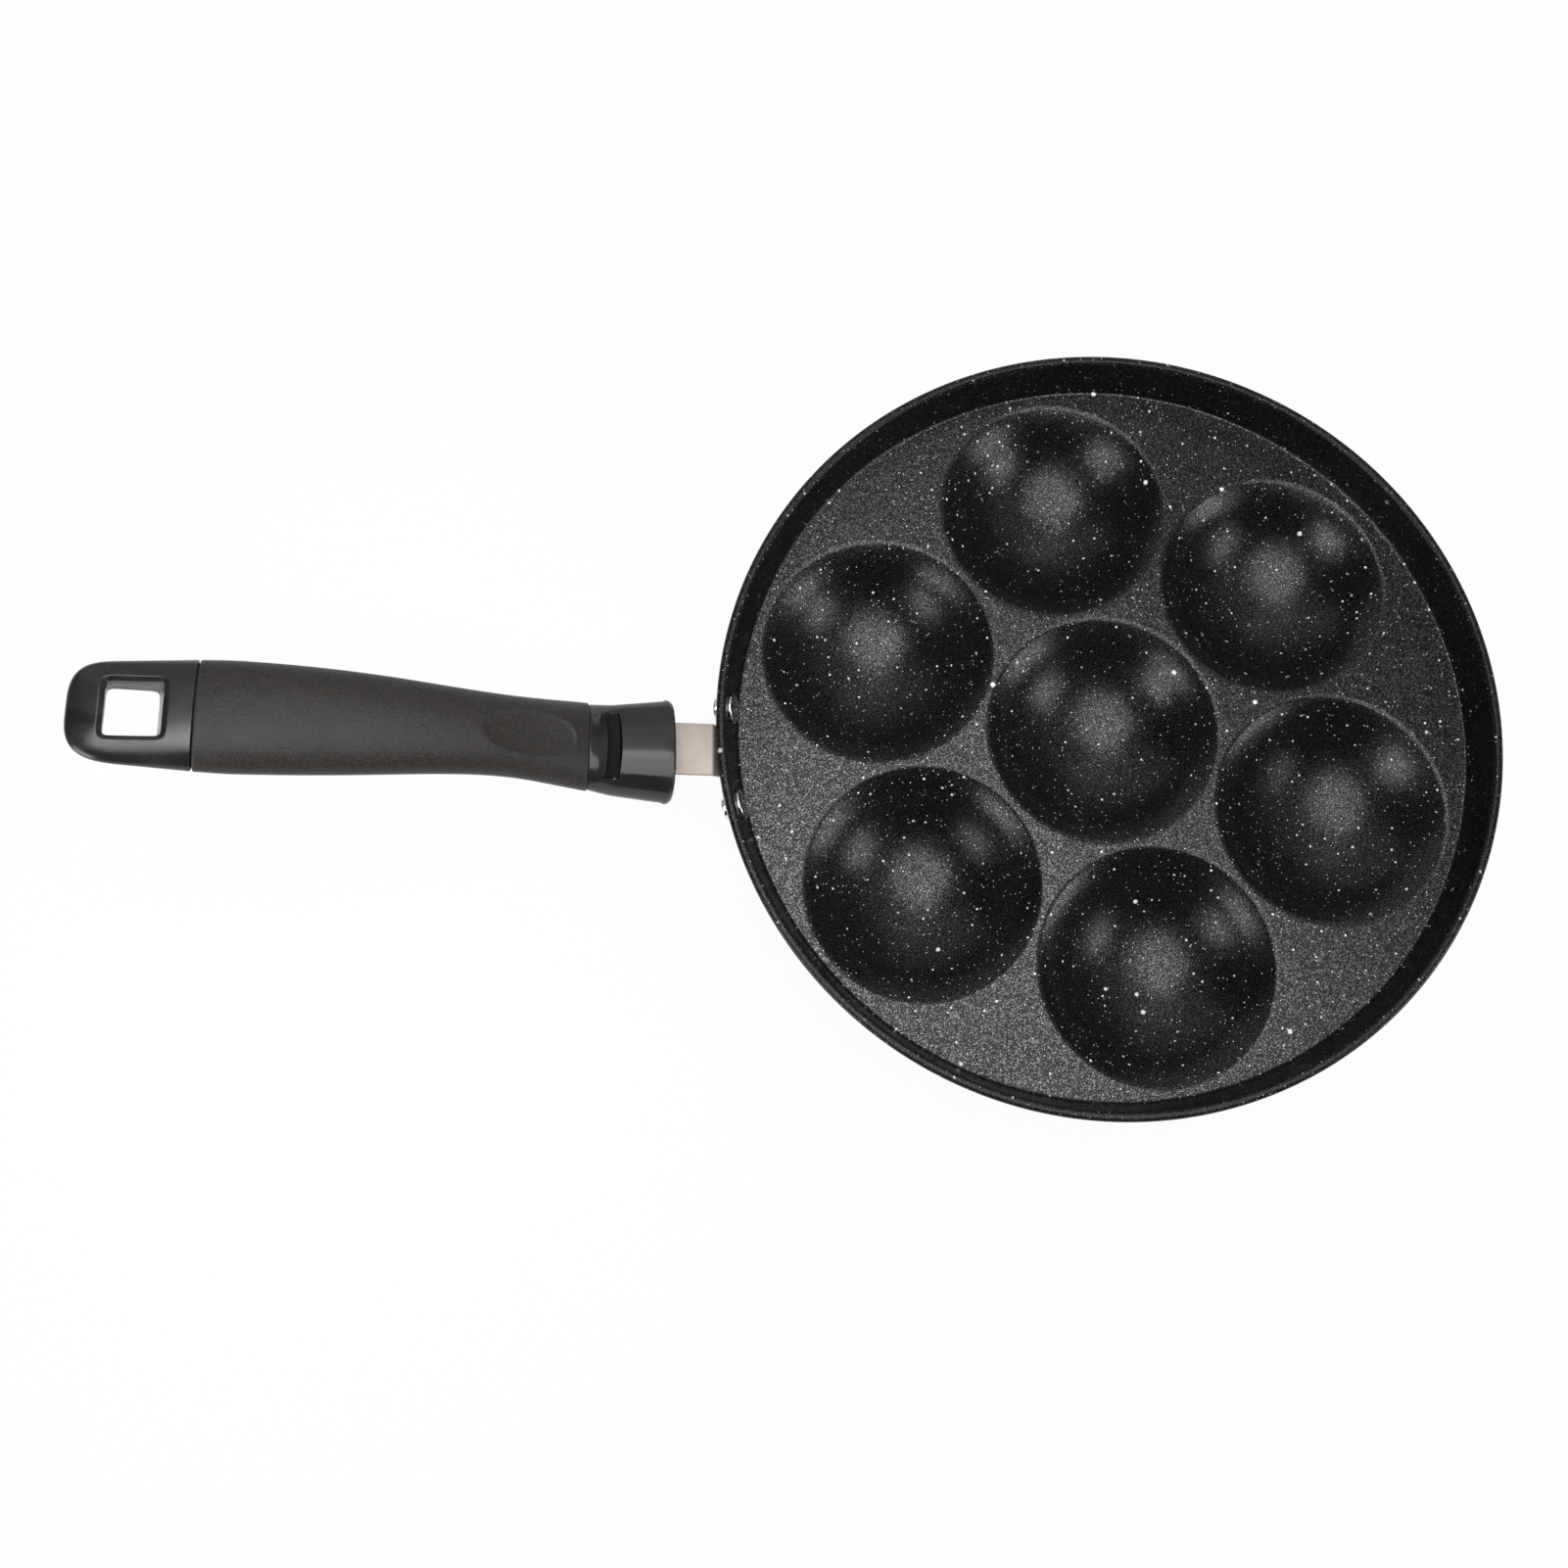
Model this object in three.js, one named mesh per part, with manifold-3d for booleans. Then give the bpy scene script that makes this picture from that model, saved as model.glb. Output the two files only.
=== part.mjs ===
// Frying pan with seven round wells and a riveted, soft-gripped handle.
// Millimetres, +Z up. The origin lies on the pan's axis, on the plane that the pan stands on.
// The handle points along -X.

import * as THREE from 'three';
import { mergeVertices } from 'three/addons/utils/BufferGeometryUtils.js';
import Module from 'manifold-3d';

const { degToRad, lerp, smoothstep } = THREE.MathUtils;

// Driving dimensions: lengths in millimetres, angles in degrees

// Gap left between two pieces that bear on each other
const CLEARANCE = 0.3;

// Pan body: a floor with one well in the middle and a ring of wells around it
const RING_WELLS = 6;
const WELL_MOUTH_RADIUS = 36.3;
const WELL_DEPTH = 22;
const WELL_LIP_ROUND = 2.5;
const WELL_WALL = 2.6;
const WELL_WEB = 2.16;
const WELL_RING_TURN = 4.2;
const PAD_RADIUS = 12;
const PAD_SLOPE = 1.6;
const PAD_HEIGHT = 0.4;
const FLOOR_MARGIN = 3.5;
const FLOOR_THICKNESS = 2.6;
const WALL_HEIGHT = 15.2;
const WALL_FLARE = 11;
const WALL_THICKNESS = 2.4;
const WALL_INNER_ROUND = 2;
const WALL_OUTER_ROUND = 4;
const RIM_EDGE_ROUND = 0.5;
const RIM_OVERHANG = 0.25;
const RIM_OVERHANG_HEIGHT = 1.5;

// Rivets, square to the wall
const RIVET_SPACING = 30.6;
const RIVET_HEIGHT = 7.3;
const RIVET_SHANK_RADIUS = 2.5;
const RIVET_HEAD_RADIUS = 4.7;
const RIVET_HEAD_HEIGHT = 1.3;
const RIVET_TAIL_RADIUS = 3.5;
const RIVET_TAIL_HEIGHT = 1.3;

// Bracket: an ear plate on the wall and a strap that runs into the handle
const BRACKET_THICKNESS = 1.5;
const EAR_MARGIN = 5.5;
const EAR_HEIGHT = 10;
const EAR_CORNER = 4.5;
const STRAP_WIDTH = 15.4;
const STRAP_SHIFT = 0.75;
const STRAP_STANDOFF = 2;
const STRAP_DROP = 1.4;
const STRAP_SHOWN = 11.4;
const STRAP_IN_FERRULE = 15;
const STRAP_SLOPE = 12.7;

// Handle's line, seen from the side and from above
const KNEE_LEAD = 7.4;
const KNEE_RUN = 4;
const NECK_RUN = 15.2;
const NECK_SLOPE = 36.5;
const EASE_LENGTH = 36;
const TAIL_SLOPE = 12.5;
const HANDLE_SKEW = 4.55;
const LEAN_RUN = 15;

// Ferrule: the flared collar at the pan's end of the handle
const FERRULE_LENGTH = 25.6;
const FERRULE_FRONT_WIDTH = 31.4;
const FERRULE_FRONT_HEIGHT = 18.6;
const FERRULE_REAR_WIDTH = 25.3;
const FERRULE_REAR_HEIGHT = 14.2;
const FERRULE_EDGE_ROUND = 2.2;
const NOTCH_LENGTH = 4.2;
const NOTCH_WIDTH = 19.4;
const NOTCH_DEPTH = 2;

// Grip: a soft sleeve over the handle's core
const GRIP_LENGTH = 104.8;
const GRIP_WALL = 2.4;
const GRIP_FRONT_WIDTH = 26.1;
const GRIP_FRONT_HEIGHT = 15.2;
const GRIP_WAIST_WIDTH = 23.5;
const GRIP_WAIST_HEIGHT = 13.4;
const GRIP_WAIST_AT = 24.6;
const GRIP_BELLY_WIDTH = 30.7;
const GRIP_BELLY_HEIGHT = 14.2;
const GRIP_BELLY_LEAD = 10;
const GRIP_REAR_WIDTH = 30.1;
const GRIP_REAR_HEIGHT = 12.6;
const SEAM_CHAMFER = 0.6;
const THUMB_REST_AT = 21;
const THUMB_REST_DEPTH = 1.4;
const THUMB_LENS_LENGTH = 60;
const THUMB_LENS_WIDTH = 38;
const THUMB_LENS_HEIGHT = 11.2;

// End cap with the hanging hole
const CAP_LENGTH = 30.7;
const CAP_FRONT_WIDTH = 30.1;
const CAP_FRONT_HEIGHT = 11.8;
const CAP_HOLE_HEIGHT = 8.4;
const CAP_TAIL_WIDTH = 25.8;
const CAP_TAIL_HEIGHT = 7;
const CAP_END_ROUND = 9;
const HOLE_AT = 15.5;
const HOLE_LENGTH = 14.9;
const HOLE_WIDTH = 15.2;
const HOLE_CORNER = 1.9;
const HOLE_WAIST = 0.8;
const LIP_BORDER = 1;
const LIP_DEPTH = 0.8;

// Core: the rigid beam inside the grip, with a tenon at each end
const FRONT_TENON_LENGTH = 19;
const FRONT_TENON_WIDTH = 13;
const FRONT_TENON_HEIGHT = 3;
const REAR_TENON_LENGTH = 5;
const REAR_TENON_WIDTH = 16;
const REAR_TENON_HEIGHT = 5;

// Screw that holds ferrule, strap and core together, with its washer
const SCREW_AT = 10;
const SCREW_RADIUS = 2;
const SCREW_HEAD_RADIUS = 3.8;
const SCREW_HEAD_HEIGHT = 2.2;
const SCREW_SEAT = 1.8;
const WASHER_RADIUS = 4.1;
const WASHER_THICKNESS = 0.9;

// Facets of the round shapes
const PAN_SIDES = 60;
const WELL_SIDES = 24;
const WELL_STEPS = 5;
const ROUND_STEPS = 2;
const SMALL_SIDES = 16;
const SECTION_SIDES = 24;
const SECTION_POWER = 2.4;
const END_POWER = 3;
const PATH_STEP = 0.5;
const MERGE_DISTANCE = 1e-4;

// Sizes that follow from the driving dimensions

const wellPitch = 2 * WELL_MOUTH_RADIUS + WELL_WEB;
const wellBottom = PAD_HEIGHT + WELL_WALL;
const floorTop = wellBottom + WELL_DEPTH;
const floorUnder = floorTop - FLOOR_THICKNESS;
const floorRadius = wellPitch + WELL_MOUTH_RADIUS + FLOOR_MARGIN;
const rimHeight = floorTop + WALL_HEIGHT;
const flare = degToRad(WALL_FLARE);
const wallAcross = WALL_THICKNESS * Math.cos(flare);

// The well is part of a sphere that runs smoothly into the rounded lip
const wellRadius = (WELL_MOUTH_RADIUS ** 2 + WELL_DEPTH ** 2) / (2 * WELL_DEPTH) - WELL_LIP_ROUND;
const wellCentre = wellBottom + wellRadius;

const innerRadiusAt = (z) => floorRadius + (z - floorTop) * Math.tan(flare);
const outerRadiusAt = (z) => innerRadiusAt(z) + WALL_THICKNESS;
const rimRadius = outerRadiusAt(rimHeight) + RIM_OVERHANG;
const rivetLevel = floorTop + RIVET_HEIGHT;
const rivetTurn = Math.asin(RIVET_SPACING / 2 / outerRadiusAt(rivetLevel));

const rootRadius = rimRadius + STRAP_STANDOFF;
const rootHeight = rimHeight - STRAP_DROP;
const skew = degToRad(HANDLE_SKEW);

// Stations along the handle's line, counted from the strap's root
const ferruleStart = STRAP_SHOWN;
const gripStart = ferruleStart + FERRULE_LENGTH;
const capStart = gripStart + GRIP_LENGTH;
const tailEnd = capStart + CAP_LENGTH;
const strapEnd = ferruleStart + STRAP_IN_FERRULE;
const kneeMiddle = gripStart - KNEE_LEAD;
const neckEnd = gripStart + NECK_RUN;

// Closed bodies, and the cuts and joins between them

const wasm = await Module();
wasm.setup();

// Triangles whose three corners differ, wound so that the faces point out
function outwardTriangles(points, index) {
  const kept = [];
  let volume = 0;
  const [a, b, c] = [new THREE.Vector3(), new THREE.Vector3(), new THREE.Vector3()];
  for (let i = 0; i < index.length; i += 3) {
    const [p, q, r] = [index[i], index[i + 1], index[i + 2]];
    if (p === q || q === r || r === p) continue;
    kept.push(p, q, r);
    a.fromArray(points, 3 * p);
    b.fromArray(points, 3 * q);
    c.fromArray(points, 3 * r);
    volume += a.dot(b.cross(c));
  }
  return volume > 0 ? kept : kept.reverse();
}

// A closed geometry as a solid that can be joined and cut
function solid(geometry) {
  const bare = new THREE.BufferGeometry();
  bare.setAttribute('position', geometry.getAttribute('position'));
  bare.setIndex(geometry.getIndex());
  const merged = mergeVertices(bare, MERGE_DISTANCE);
  const vertProperties = new Float32Array(merged.getAttribute('position').array);
  const triVerts = new Uint32Array(outwardTriangles(vertProperties, merged.getIndex().array));
  return new wasm.Manifold(new wasm.Mesh({ numProp: 3, vertProperties, triVerts }));
}

// A finished solid as a named mesh with its own finish
function piece(name, body, finish) {
  const { vertProperties, triVerts } = body.getMesh();
  const geometry = new THREE.BufferGeometry();
  geometry.setAttribute('position', new THREE.BufferAttribute(vertProperties, 3));
  geometry.setIndex(new THREE.BufferAttribute(triVerts, 1));
  geometry.computeVertexNormals();
  const mesh = new THREE.Mesh(geometry, new THREE.MeshStandardMaterial(finish));
  mesh.name = name;
  return mesh;
}

// A profile of [radius, height] points turned about the Z axis
function turned(profile, sides) {
  const points = profile.map(([radius, height]) => new THREE.Vector2(radius, height));
  return new THREE.LatheGeometry(points, sides).rotateX(Math.PI / 2);
}

// Points of a circular arc, as [radius, height]
function arc(centre, radius, from, to, steps) {
  const curve = new THREE.EllipseCurve(centre[0], centre[1], radius, radius, from, to, to < from);
  return curve.getPoints(steps).map((point) => [point.x, point.y]);
}

// Points that round off a corner between two other points
function roundedCorner(start, corner, end) {
  const vectors = [start, corner, end].map(([x, y]) => new THREE.Vector2(x, y));
  const curve = new THREE.QuadraticBezierCurve(...vectors);
  return curve.getPoints(ROUND_STEPS).map((point) => [point.x, point.y]);
}

// A ring of points round a rectangle with rounded corners, centred on the Z axis, at one height
function roundedRing(length, width, corner, height) {
  const x = length / 2 - corner;
  const y = width / 2 - corner;
  const outline = new THREE.Shape();
  outline.absarc(x, y, corner, 0, Math.PI / 2);
  outline.absarc(-x, y, corner, Math.PI / 2, Math.PI);
  outline.absarc(-x, -y, corner, Math.PI, 1.5 * Math.PI);
  outline.absarc(x, -y, corner, 1.5 * Math.PI, 2 * Math.PI);
  return outline.getPoints(ROUND_STEPS).map((point) => new THREE.Vector3(point.x, point.y, height));
}

// A plate with rounded corners from one height to another
function roundedPlate(length, width, corner, low, high) {
  return loft([low, high].map((height) => roundedRing(length, width, corner, height)));
}

// A round bar along the Z axis from one height to another
function bar(radius, low, high) {
  return turned([[0, low], [radius, low], [radius, high], [0, high]], SMALL_SIDES);
}

// A body through rings of equally many points, with a flat fan across each end
function loft(rings) {
  const count = rings[0].length;
  const points = rings.flat();
  const index = [];
  for (let start = 0; start + count < points.length; start += count) {
    for (let i = 0; i < count; i++) {
      const a = start + i;
      const b = start + ((i + 1) % count);
      index.push(a, b, b + count, a, b + count, a + count);
    }
  }
  const fan = (ring, first, flip) => {
    const middle = points.length;
    const sum = ring.reduce((total, point) => total.add(point), new THREE.Vector3());
    points.push(sum.divideScalar(count));
    for (let i = 0; i < count; i++) {
      const a = first + i;
      const b = first + ((i + 1) % count);
      index.push(middle, flip ? b : a, flip ? a : b);
    }
  };
  const lastStart = (rings.length - 1) * count;
  fan(rings[0], 0, true);
  fan(rings[rings.length - 1], lastStart, false);
  const geometry = new THREE.BufferGeometry().setFromPoints(points);
  return geometry.setIndex(index);
}

// A smooth value along the handle through given [station, value] pairs
function through(pairs) {
  const stations = pairs.map(([station]) => station);
  const values = pairs.map(([, value]) => value);
  const curve = new THREE.CubicInterpolant(stations, values, 1);
  return (t) => curve.evaluate(t)[0];
}

// Stations from one to another in even steps, both ends included
function evenly(from, to, steps) {
  return Array.from({ length: steps + 1 }, (_, i) => lerp(from, to, i / steps));
}

// The handle's line, in the upright plane of the handle

// Slope at a station: straight along the strap, a knee, a straight neck, then an easing rise
function slopeAt(t) {
  const bend = smoothstep(t, kneeMiddle - KNEE_RUN / 2, kneeMiddle + KNEE_RUN / 2);
  const neck = lerp(degToRad(STRAP_SLOPE), degToRad(NECK_SLOPE), bend);
  const tail = degToRad(TAIL_SLOPE);
  const past = Math.max(0, t - neckEnd);
  return tail + (neck - tail) * Math.exp(-past / EASE_LENGTH);
}

// Lean of the sections: square to the strap inside the ferrule, then easing to the line's slope
function leanAt(t) {
  const eased = smoothstep(t, gripStart, gripStart + LEAN_RUN);
  return lerp(degToRad(STRAP_SLOPE), slopeAt(t), eased);
}

// Distance out from the strap's root, rise and lean at a station
function lineAt(t) {
  const steps = Math.ceil(Math.abs(t) / PATH_STEP);
  let out = 0;
  let rise = 0;
  for (let i = 0; i < steps; i++) {
    const slope = slopeAt((t * (i + 0.5)) / steps);
    out += (Math.cos(slope) * t) / steps;
    rise += (Math.sin(slope) * t) / steps;
  }
  return { out, rise, lean: leanAt(t) };
}

// A point beside and above the handle's line
function handlePoint(t, side, lift) {
  const { out, rise, lean } = lineAt(t);
  return new THREE.Vector3(out - lift * Math.sin(lean), side, rise + lift * Math.cos(lean));
}

// Moves a body from its own Z axis to stand upright in the section at a station
function standOnLine(geometry, t) {
  const { out, rise, lean } = lineAt(t);
  return geometry.rotateY(-lean).translate(out, 0, rise);
}

// A rounded section across the handle
function section(t, width, height, lift = 0) {
  const fuller = (value) => Math.sign(value) * Math.abs(value) ** (2 / SECTION_POWER);
  return Array.from({ length: SECTION_SIDES }, (_, i) => {
    const turn = (2 * Math.PI * i) / SECTION_SIDES;
    const side = (width / 2) * fuller(Math.cos(turn));
    const up = (height / 2) * fuller(Math.sin(turn));
    return handlePoint(t, side, lift + up);
  });
}

// Pan body

function wellPlaces() {
  const places = [[0, 0]];
  for (let i = 0; i < RING_WELLS; i++) {
    const turn = degToRad(WELL_RING_TURN) + (Math.PI * (2 * i + 1)) / RING_WELLS;
    places.push([wellPitch * Math.cos(turn), wellPitch * Math.sin(turn)]);
  }
  return places;
}

// Floor, flared wall and rim, without the wells
function dish() {
  const footRadius = outerRadiusAt(floorUnder);
  const edge = RIM_EDGE_ROUND;
  const innerRim = innerRadiusAt(rimHeight);
  const profile = [
    [0, floorUnder],
    ...roundedCorner(
      [footRadius - WALL_OUTER_ROUND, floorUnder],
      [footRadius, floorUnder],
      [outerRadiusAt(floorUnder + WALL_OUTER_ROUND), floorUnder + WALL_OUTER_ROUND],
    ),
    [outerRadiusAt(rimHeight - RIM_OVERHANG_HEIGHT), rimHeight - RIM_OVERHANG_HEIGHT],
    [rimRadius, rimHeight - edge],
    [rimRadius - edge, rimHeight],
    [innerRim + edge, rimHeight],
    [innerRadiusAt(rimHeight - edge), rimHeight - edge],
    ...roundedCorner(
      [innerRadiusAt(floorTop + WALL_INNER_ROUND), floorTop + WALL_INNER_ROUND],
      [floorRadius, floorTop],
      [floorRadius - WALL_INNER_ROUND, floorTop],
    ),
    [0, floorTop],
  ];
  return turned(profile, PAN_SIDES);
}

// Metal around a well: the outside of the bowl with its flat pad
function wellOutside() {
  const radius = wellRadius + WELL_WALL;
  const inFloor = floorTop - FLOOR_THICKNESS / 2;
  const from = Math.asin((PAD_RADIUS + PAD_SLOPE) / radius) - Math.PI / 2;
  const to = Math.asin((inFloor - wellCentre) / radius);
  const bowl = arc([0, wellCentre], radius, from, to, WELL_STEPS - 1);
  return turned([[0, 0], [PAD_RADIUS, 0], ...bowl, [0, inFloor]], WELL_SIDES);
}

// Hollow of a well, with its rounded lip
function wellInside() {
  const lipCentre = [WELL_MOUTH_RADIUS, floorTop - WELL_LIP_ROUND];
  const toCentre = Math.atan2(wellCentre - lipCentre[1], -WELL_MOUTH_RADIUS);
  const bowl = arc([0, wellCentre], wellRadius, -Math.PI / 2, toCentre - Math.PI, WELL_STEPS);
  const lip = arc(lipCentre, WELL_LIP_ROUND, toCentre, Math.PI / 2, ROUND_STEPS);
  const above = floorTop + WELL_LIP_ROUND;
  const profile = [...bowl, ...lip.slice(1), [WELL_MOUTH_RADIUS, above], [0, above]];
  return turned(profile, WELL_SIDES);
}

// A geometry along the Z axis turned to lie on a rivet's line, outward through the wall
function onRivetLine(geometry, side) {
  const middleRadius = outerRadiusAt(rivetLevel) - WALL_THICKNESS / 2;
  geometry.rotateY(Math.PI / 2 + flare).translate(middleRadius, 0, rivetLevel);
  return geometry.rotateZ(Math.PI + side * rivetTurn);
}

// Room for a rivet's shank through wall and bracket
function rivetHole(side) {
  const reach = wallAcross + BRACKET_THICKNESS + WALL_OUTER_ROUND;
  return solid(onRivetLine(bar(RIVET_SHANK_RADIUS + CLEARANCE, -reach, reach), side));
}

function panBody() {
  let body = solid(dish());
  for (const [x, y] of wellPlaces()) {
    body = body.add(solid(wellOutside().translate(x, y, 0)));
  }
  for (const [x, y] of wellPlaces()) {
    body = body.subtract(solid(wellInside().translate(x, y, 0)));
  }
  return body.subtract(rivetHole(1)).subtract(rivetHole(-1));
}

// Rivet: a low domed head inside the pan, a shank, and a tail upset over the bracket
function rivet(side) {
  const headSeat = -wallAcross / 2 - CLEARANCE;
  const tailSeat = wallAcross / 2 + BRACKET_THICKNESS + 2 * CLEARANCE;
  const dome = (seat, radius, height) => roundedCorner(
    [radius, seat + height / 3],
    [radius, seat + height],
    [0, seat + height],
  );
  const profile = [
    ...dome(headSeat, RIVET_HEAD_RADIUS, -RIVET_HEAD_HEIGHT).reverse(),
    [RIVET_HEAD_RADIUS, headSeat],
    [RIVET_SHANK_RADIUS, headSeat],
    [RIVET_SHANK_RADIUS, tailSeat],
    [RIVET_TAIL_RADIUS, tailSeat],
    ...dome(tailSeat, RIVET_TAIL_RADIUS, RIVET_TAIL_HEIGHT),
  ];
  return solid(onRivetLine(turned(profile, SMALL_SIDES), side));
}

// Handle bracket

// A plate outline seen along the X axis, as a block that runs through the wall's outside
function throughWall(plate) {
  return solid(plate.rotateZ(Math.PI / 2).rotateY(Math.PI / 2));
}

// The ear plate and its middle tab, curved to the pan's wall
function earPlate() {
  const low = rivetLevel - EAR_HEIGHT;
  const offset = CLEARANCE / Math.cos(flare);
  const across = BRACKET_THICKNESS / Math.cos(flare);
  const inner = (z) => outerRadiusAt(z) + offset;
  const ring = solid(turned([
    [inner(low), low],
    [inner(low) + across, low],
    [inner(rootHeight) + across, rootHeight],
    [inner(rootHeight), rootHeight],
    [inner(low), low],
  ], PAN_SIDES));
  const far = 2 * rimRadius;
  const earWidth = RIVET_SPACING + 2 * EAR_MARGIN;
  const ear = throughWall(roundedPlate(earWidth, EAR_HEIGHT, EAR_CORNER, 0, far));
  const tabHeight = rootHeight - BRACKET_THICKNESS / 2 - rivetLevel;
  const tab = throughWall(new THREE.BoxGeometry(STRAP_WIDTH, tabHeight, far).translate(0, 0, far / 2));
  const tabPlace = [0, -STRAP_SHIFT, rivetLevel + tabHeight / 2];
  const outline = ear.translate(0, 0, rivetLevel).add(tab.translate(tabPlace));
  return ring.intersect(outline);
}

// The rounded bend between the tab and the strap
function strapRoot() {
  const half = BRACKET_THICKNESS / 2;
  const nose = STRAP_STANDOFF - CLEARANCE;
  const climb = BRACKET_THICKNESS * Math.tan(degToRad(STRAP_SLOPE));
  const outline = new THREE.Shape();
  outline.moveTo(-nose, -BRACKET_THICKNESS);
  outline.lineTo(BRACKET_THICKNESS, climb - half);
  outline.lineTo(BRACKET_THICKNESS, climb + half);
  outline.lineTo(0, half);
  outline.quadraticCurveTo(-nose, half, -nose, -BRACKET_THICKNESS);
  const body = new THREE.ExtrudeGeometry(outline, {
    depth: STRAP_WIDTH,
    bevelEnabled: false,
    curveSegments: ROUND_STEPS,
  });
  body.translate(0, 0, -STRAP_WIDTH / 2).rotateX(Math.PI / 2);
  return solid(body.translate(rootRadius, -STRAP_SHIFT, rootHeight));
}

// The straight strap, from its root to its end inside the ferrule, with the screw's hole
function strap() {
  const body = new THREE.BoxGeometry(strapEnd, STRAP_WIDTH, BRACKET_THICKNESS);
  body.translate(0, -STRAP_SHIFT, 0);
  const hole = bar(SCREW_RADIUS + CLEARANCE, -BRACKET_THICKNESS, BRACKET_THICKNESS);
  const place = (geometry, t) => (
    solid(standOnLine(geometry, t).rotateZ(-skew).translate(rootRadius, 0, rootHeight))
  );
  return place(body, strapEnd / 2).subtract(place(hole, screwStation));
}

function bracket() {
  const plate = earPlate().add(strapRoot()).add(strap()).rotate([0, 0, 180]);
  return plate.subtract(rivetHole(1)).subtract(rivetHole(-1));
}

// Pieces of the handle, in the handle's own plane

const screwStation = ferruleStart + SCREW_AT;
const tenonLift = BRACKET_THICKNESS / 2 + CLEARANCE + FRONT_TENON_HEIGHT / 2;
const tenonStart = gripStart - FRONT_TENON_LENGTH;

const ferruleWidth = through([[ferruleStart, FERRULE_FRONT_WIDTH], [gripStart, FERRULE_REAR_WIDTH]]);
const ferruleHeight = through([[ferruleStart, FERRULE_FRONT_HEIGHT], [gripStart, FERRULE_REAR_HEIGHT]]);

// Stations where the line bends, before the knee, in it and after it
const kneeStations = [kneeMiddle - KNEE_RUN / 2, kneeMiddle, kneeMiddle + KNEE_RUN / 2];

const gripStations = [
  gripStart,
  gripStart + GRIP_WAIST_AT,
  capStart - GRIP_BELLY_LEAD,
  capStart,
];
const gripWidths = [GRIP_FRONT_WIDTH, GRIP_WAIST_WIDTH, GRIP_BELLY_WIDTH, GRIP_REAR_WIDTH];
const gripHeights = [GRIP_FRONT_HEIGHT, GRIP_WAIST_HEIGHT, GRIP_BELLY_HEIGHT, GRIP_REAR_HEIGHT];
const gripWidth = through(gripStations.map((t, i) => [t, gripWidths[i]]));
const gripHeight = through(gripStations.map((t, i) => [t, gripHeights[i]]));

// The flared collar, notched across its top and hollowed for strap, tenon and screw
function ferrule() {
  const rear = gripStart - CLEARANCE;
  const outside = [
    section(
      ferruleStart,
      FERRULE_FRONT_WIDTH - 2 * FERRULE_EDGE_ROUND,
      FERRULE_FRONT_HEIGHT - 2 * FERRULE_EDGE_ROUND,
    ),
    section(
      ferruleStart + FERRULE_EDGE_ROUND / 3,
      FERRULE_FRONT_WIDTH - FERRULE_EDGE_ROUND / 2,
      FERRULE_FRONT_HEIGHT - FERRULE_EDGE_ROUND / 2,
    ),
  ];
  const stations = [ferruleStart + FERRULE_EDGE_ROUND, ...kneeStations, rear];
  stations.forEach((t) => outside.push(section(t, ferruleWidth(t), ferruleHeight(t))));
  let body = solid(loft(outside));
  body = body.subtract(strapSlot()).subtract(tenonSocket()).subtract(notch());
  return body.subtract(screwRoom());
}

function strapSlot() {
  const from = ferruleStart - FERRULE_EDGE_ROUND;
  const to = strapEnd + CLEARANCE;
  const slot = new THREE.BoxGeometry(
    to - from,
    STRAP_WIDTH + 2 * CLEARANCE,
    BRACKET_THICKNESS + 2 * CLEARANCE,
  );
  return solid(standOnLine(slot.translate(0, -STRAP_SHIFT, 0), (from + to) / 2));
}

// Sections of the front tenon, grown on all sides by a margin
function tenonRings(margin, end) {
  const width = FRONT_TENON_WIDTH + 2 * margin;
  const height = FRONT_TENON_HEIGHT + 2 * margin;
  const stations = [tenonStart - margin, ...kneeStations, end];
  return stations.map((t) => section(t, width, height, tenonLift));
}

function tenonSocket() {
  return solid(loft(tenonRings(CLEARANCE, gripStart + CLEARANCE)));
}

function notch() {
  const top = ferruleHeight(kneeMiddle) / 2;
  const cut = roundedPlate(NOTCH_LENGTH, NOTCH_WIDTH, NOTCH_LENGTH / 4, top - NOTCH_DEPTH, 2 * top);
  return solid(standOnLine(cut, kneeMiddle));
}

// Seat for washer and head, and the way through for the screw
function screwRoom() {
  const seat = -BRACKET_THICKNESS / 2 - CLEARANCE - SCREW_SEAT;
  const well = standOnLine(bar(WASHER_RADIUS + CLEARANCE, -FERRULE_FRONT_HEIGHT, seat), screwStation);
  return solid(well).add(screwWay(FRONT_TENON_HEIGHT));
}

function screwWay(above) {
  const hole = bar(SCREW_RADIUS + CLEARANCE, -FERRULE_FRONT_HEIGHT / 2, above);
  return solid(standOnLine(hole, screwStation));
}

function screw() {
  const top = -BRACKET_THICKNESS / 2 - SCREW_SEAT - WASHER_THICKNESS - 3 * CLEARANCE;
  const bottom = top - SCREW_HEAD_HEIGHT;
  const tip = tenonLift + FRONT_TENON_HEIGHT / 2 - CLEARANCE;
  const profile = [
    ...roundedCorner(
      [0, bottom],
      [SCREW_HEAD_RADIUS, bottom],
      [SCREW_HEAD_RADIUS, top - SCREW_HEAD_HEIGHT / 3],
    ),
    [SCREW_HEAD_RADIUS, top],
    [SCREW_RADIUS, top],
    [SCREW_RADIUS, tip - SCREW_RADIUS],
    [0, tip],
  ];
  return solid(standOnLine(turned(profile, SMALL_SIDES), screwStation));
}

function washer() {
  const high = -BRACKET_THICKNESS / 2 - SCREW_SEAT - 2 * CLEARANCE;
  const low = high - WASHER_THICKNESS;
  const bore = SCREW_RADIUS + CLEARANCE;
  const ring = [[bore, low], [WASHER_RADIUS, low], [WASHER_RADIUS, high], [bore, high], [bore, low]];
  return solid(standOnLine(turned(ring, SMALL_SIDES), screwStation));
}

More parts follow.
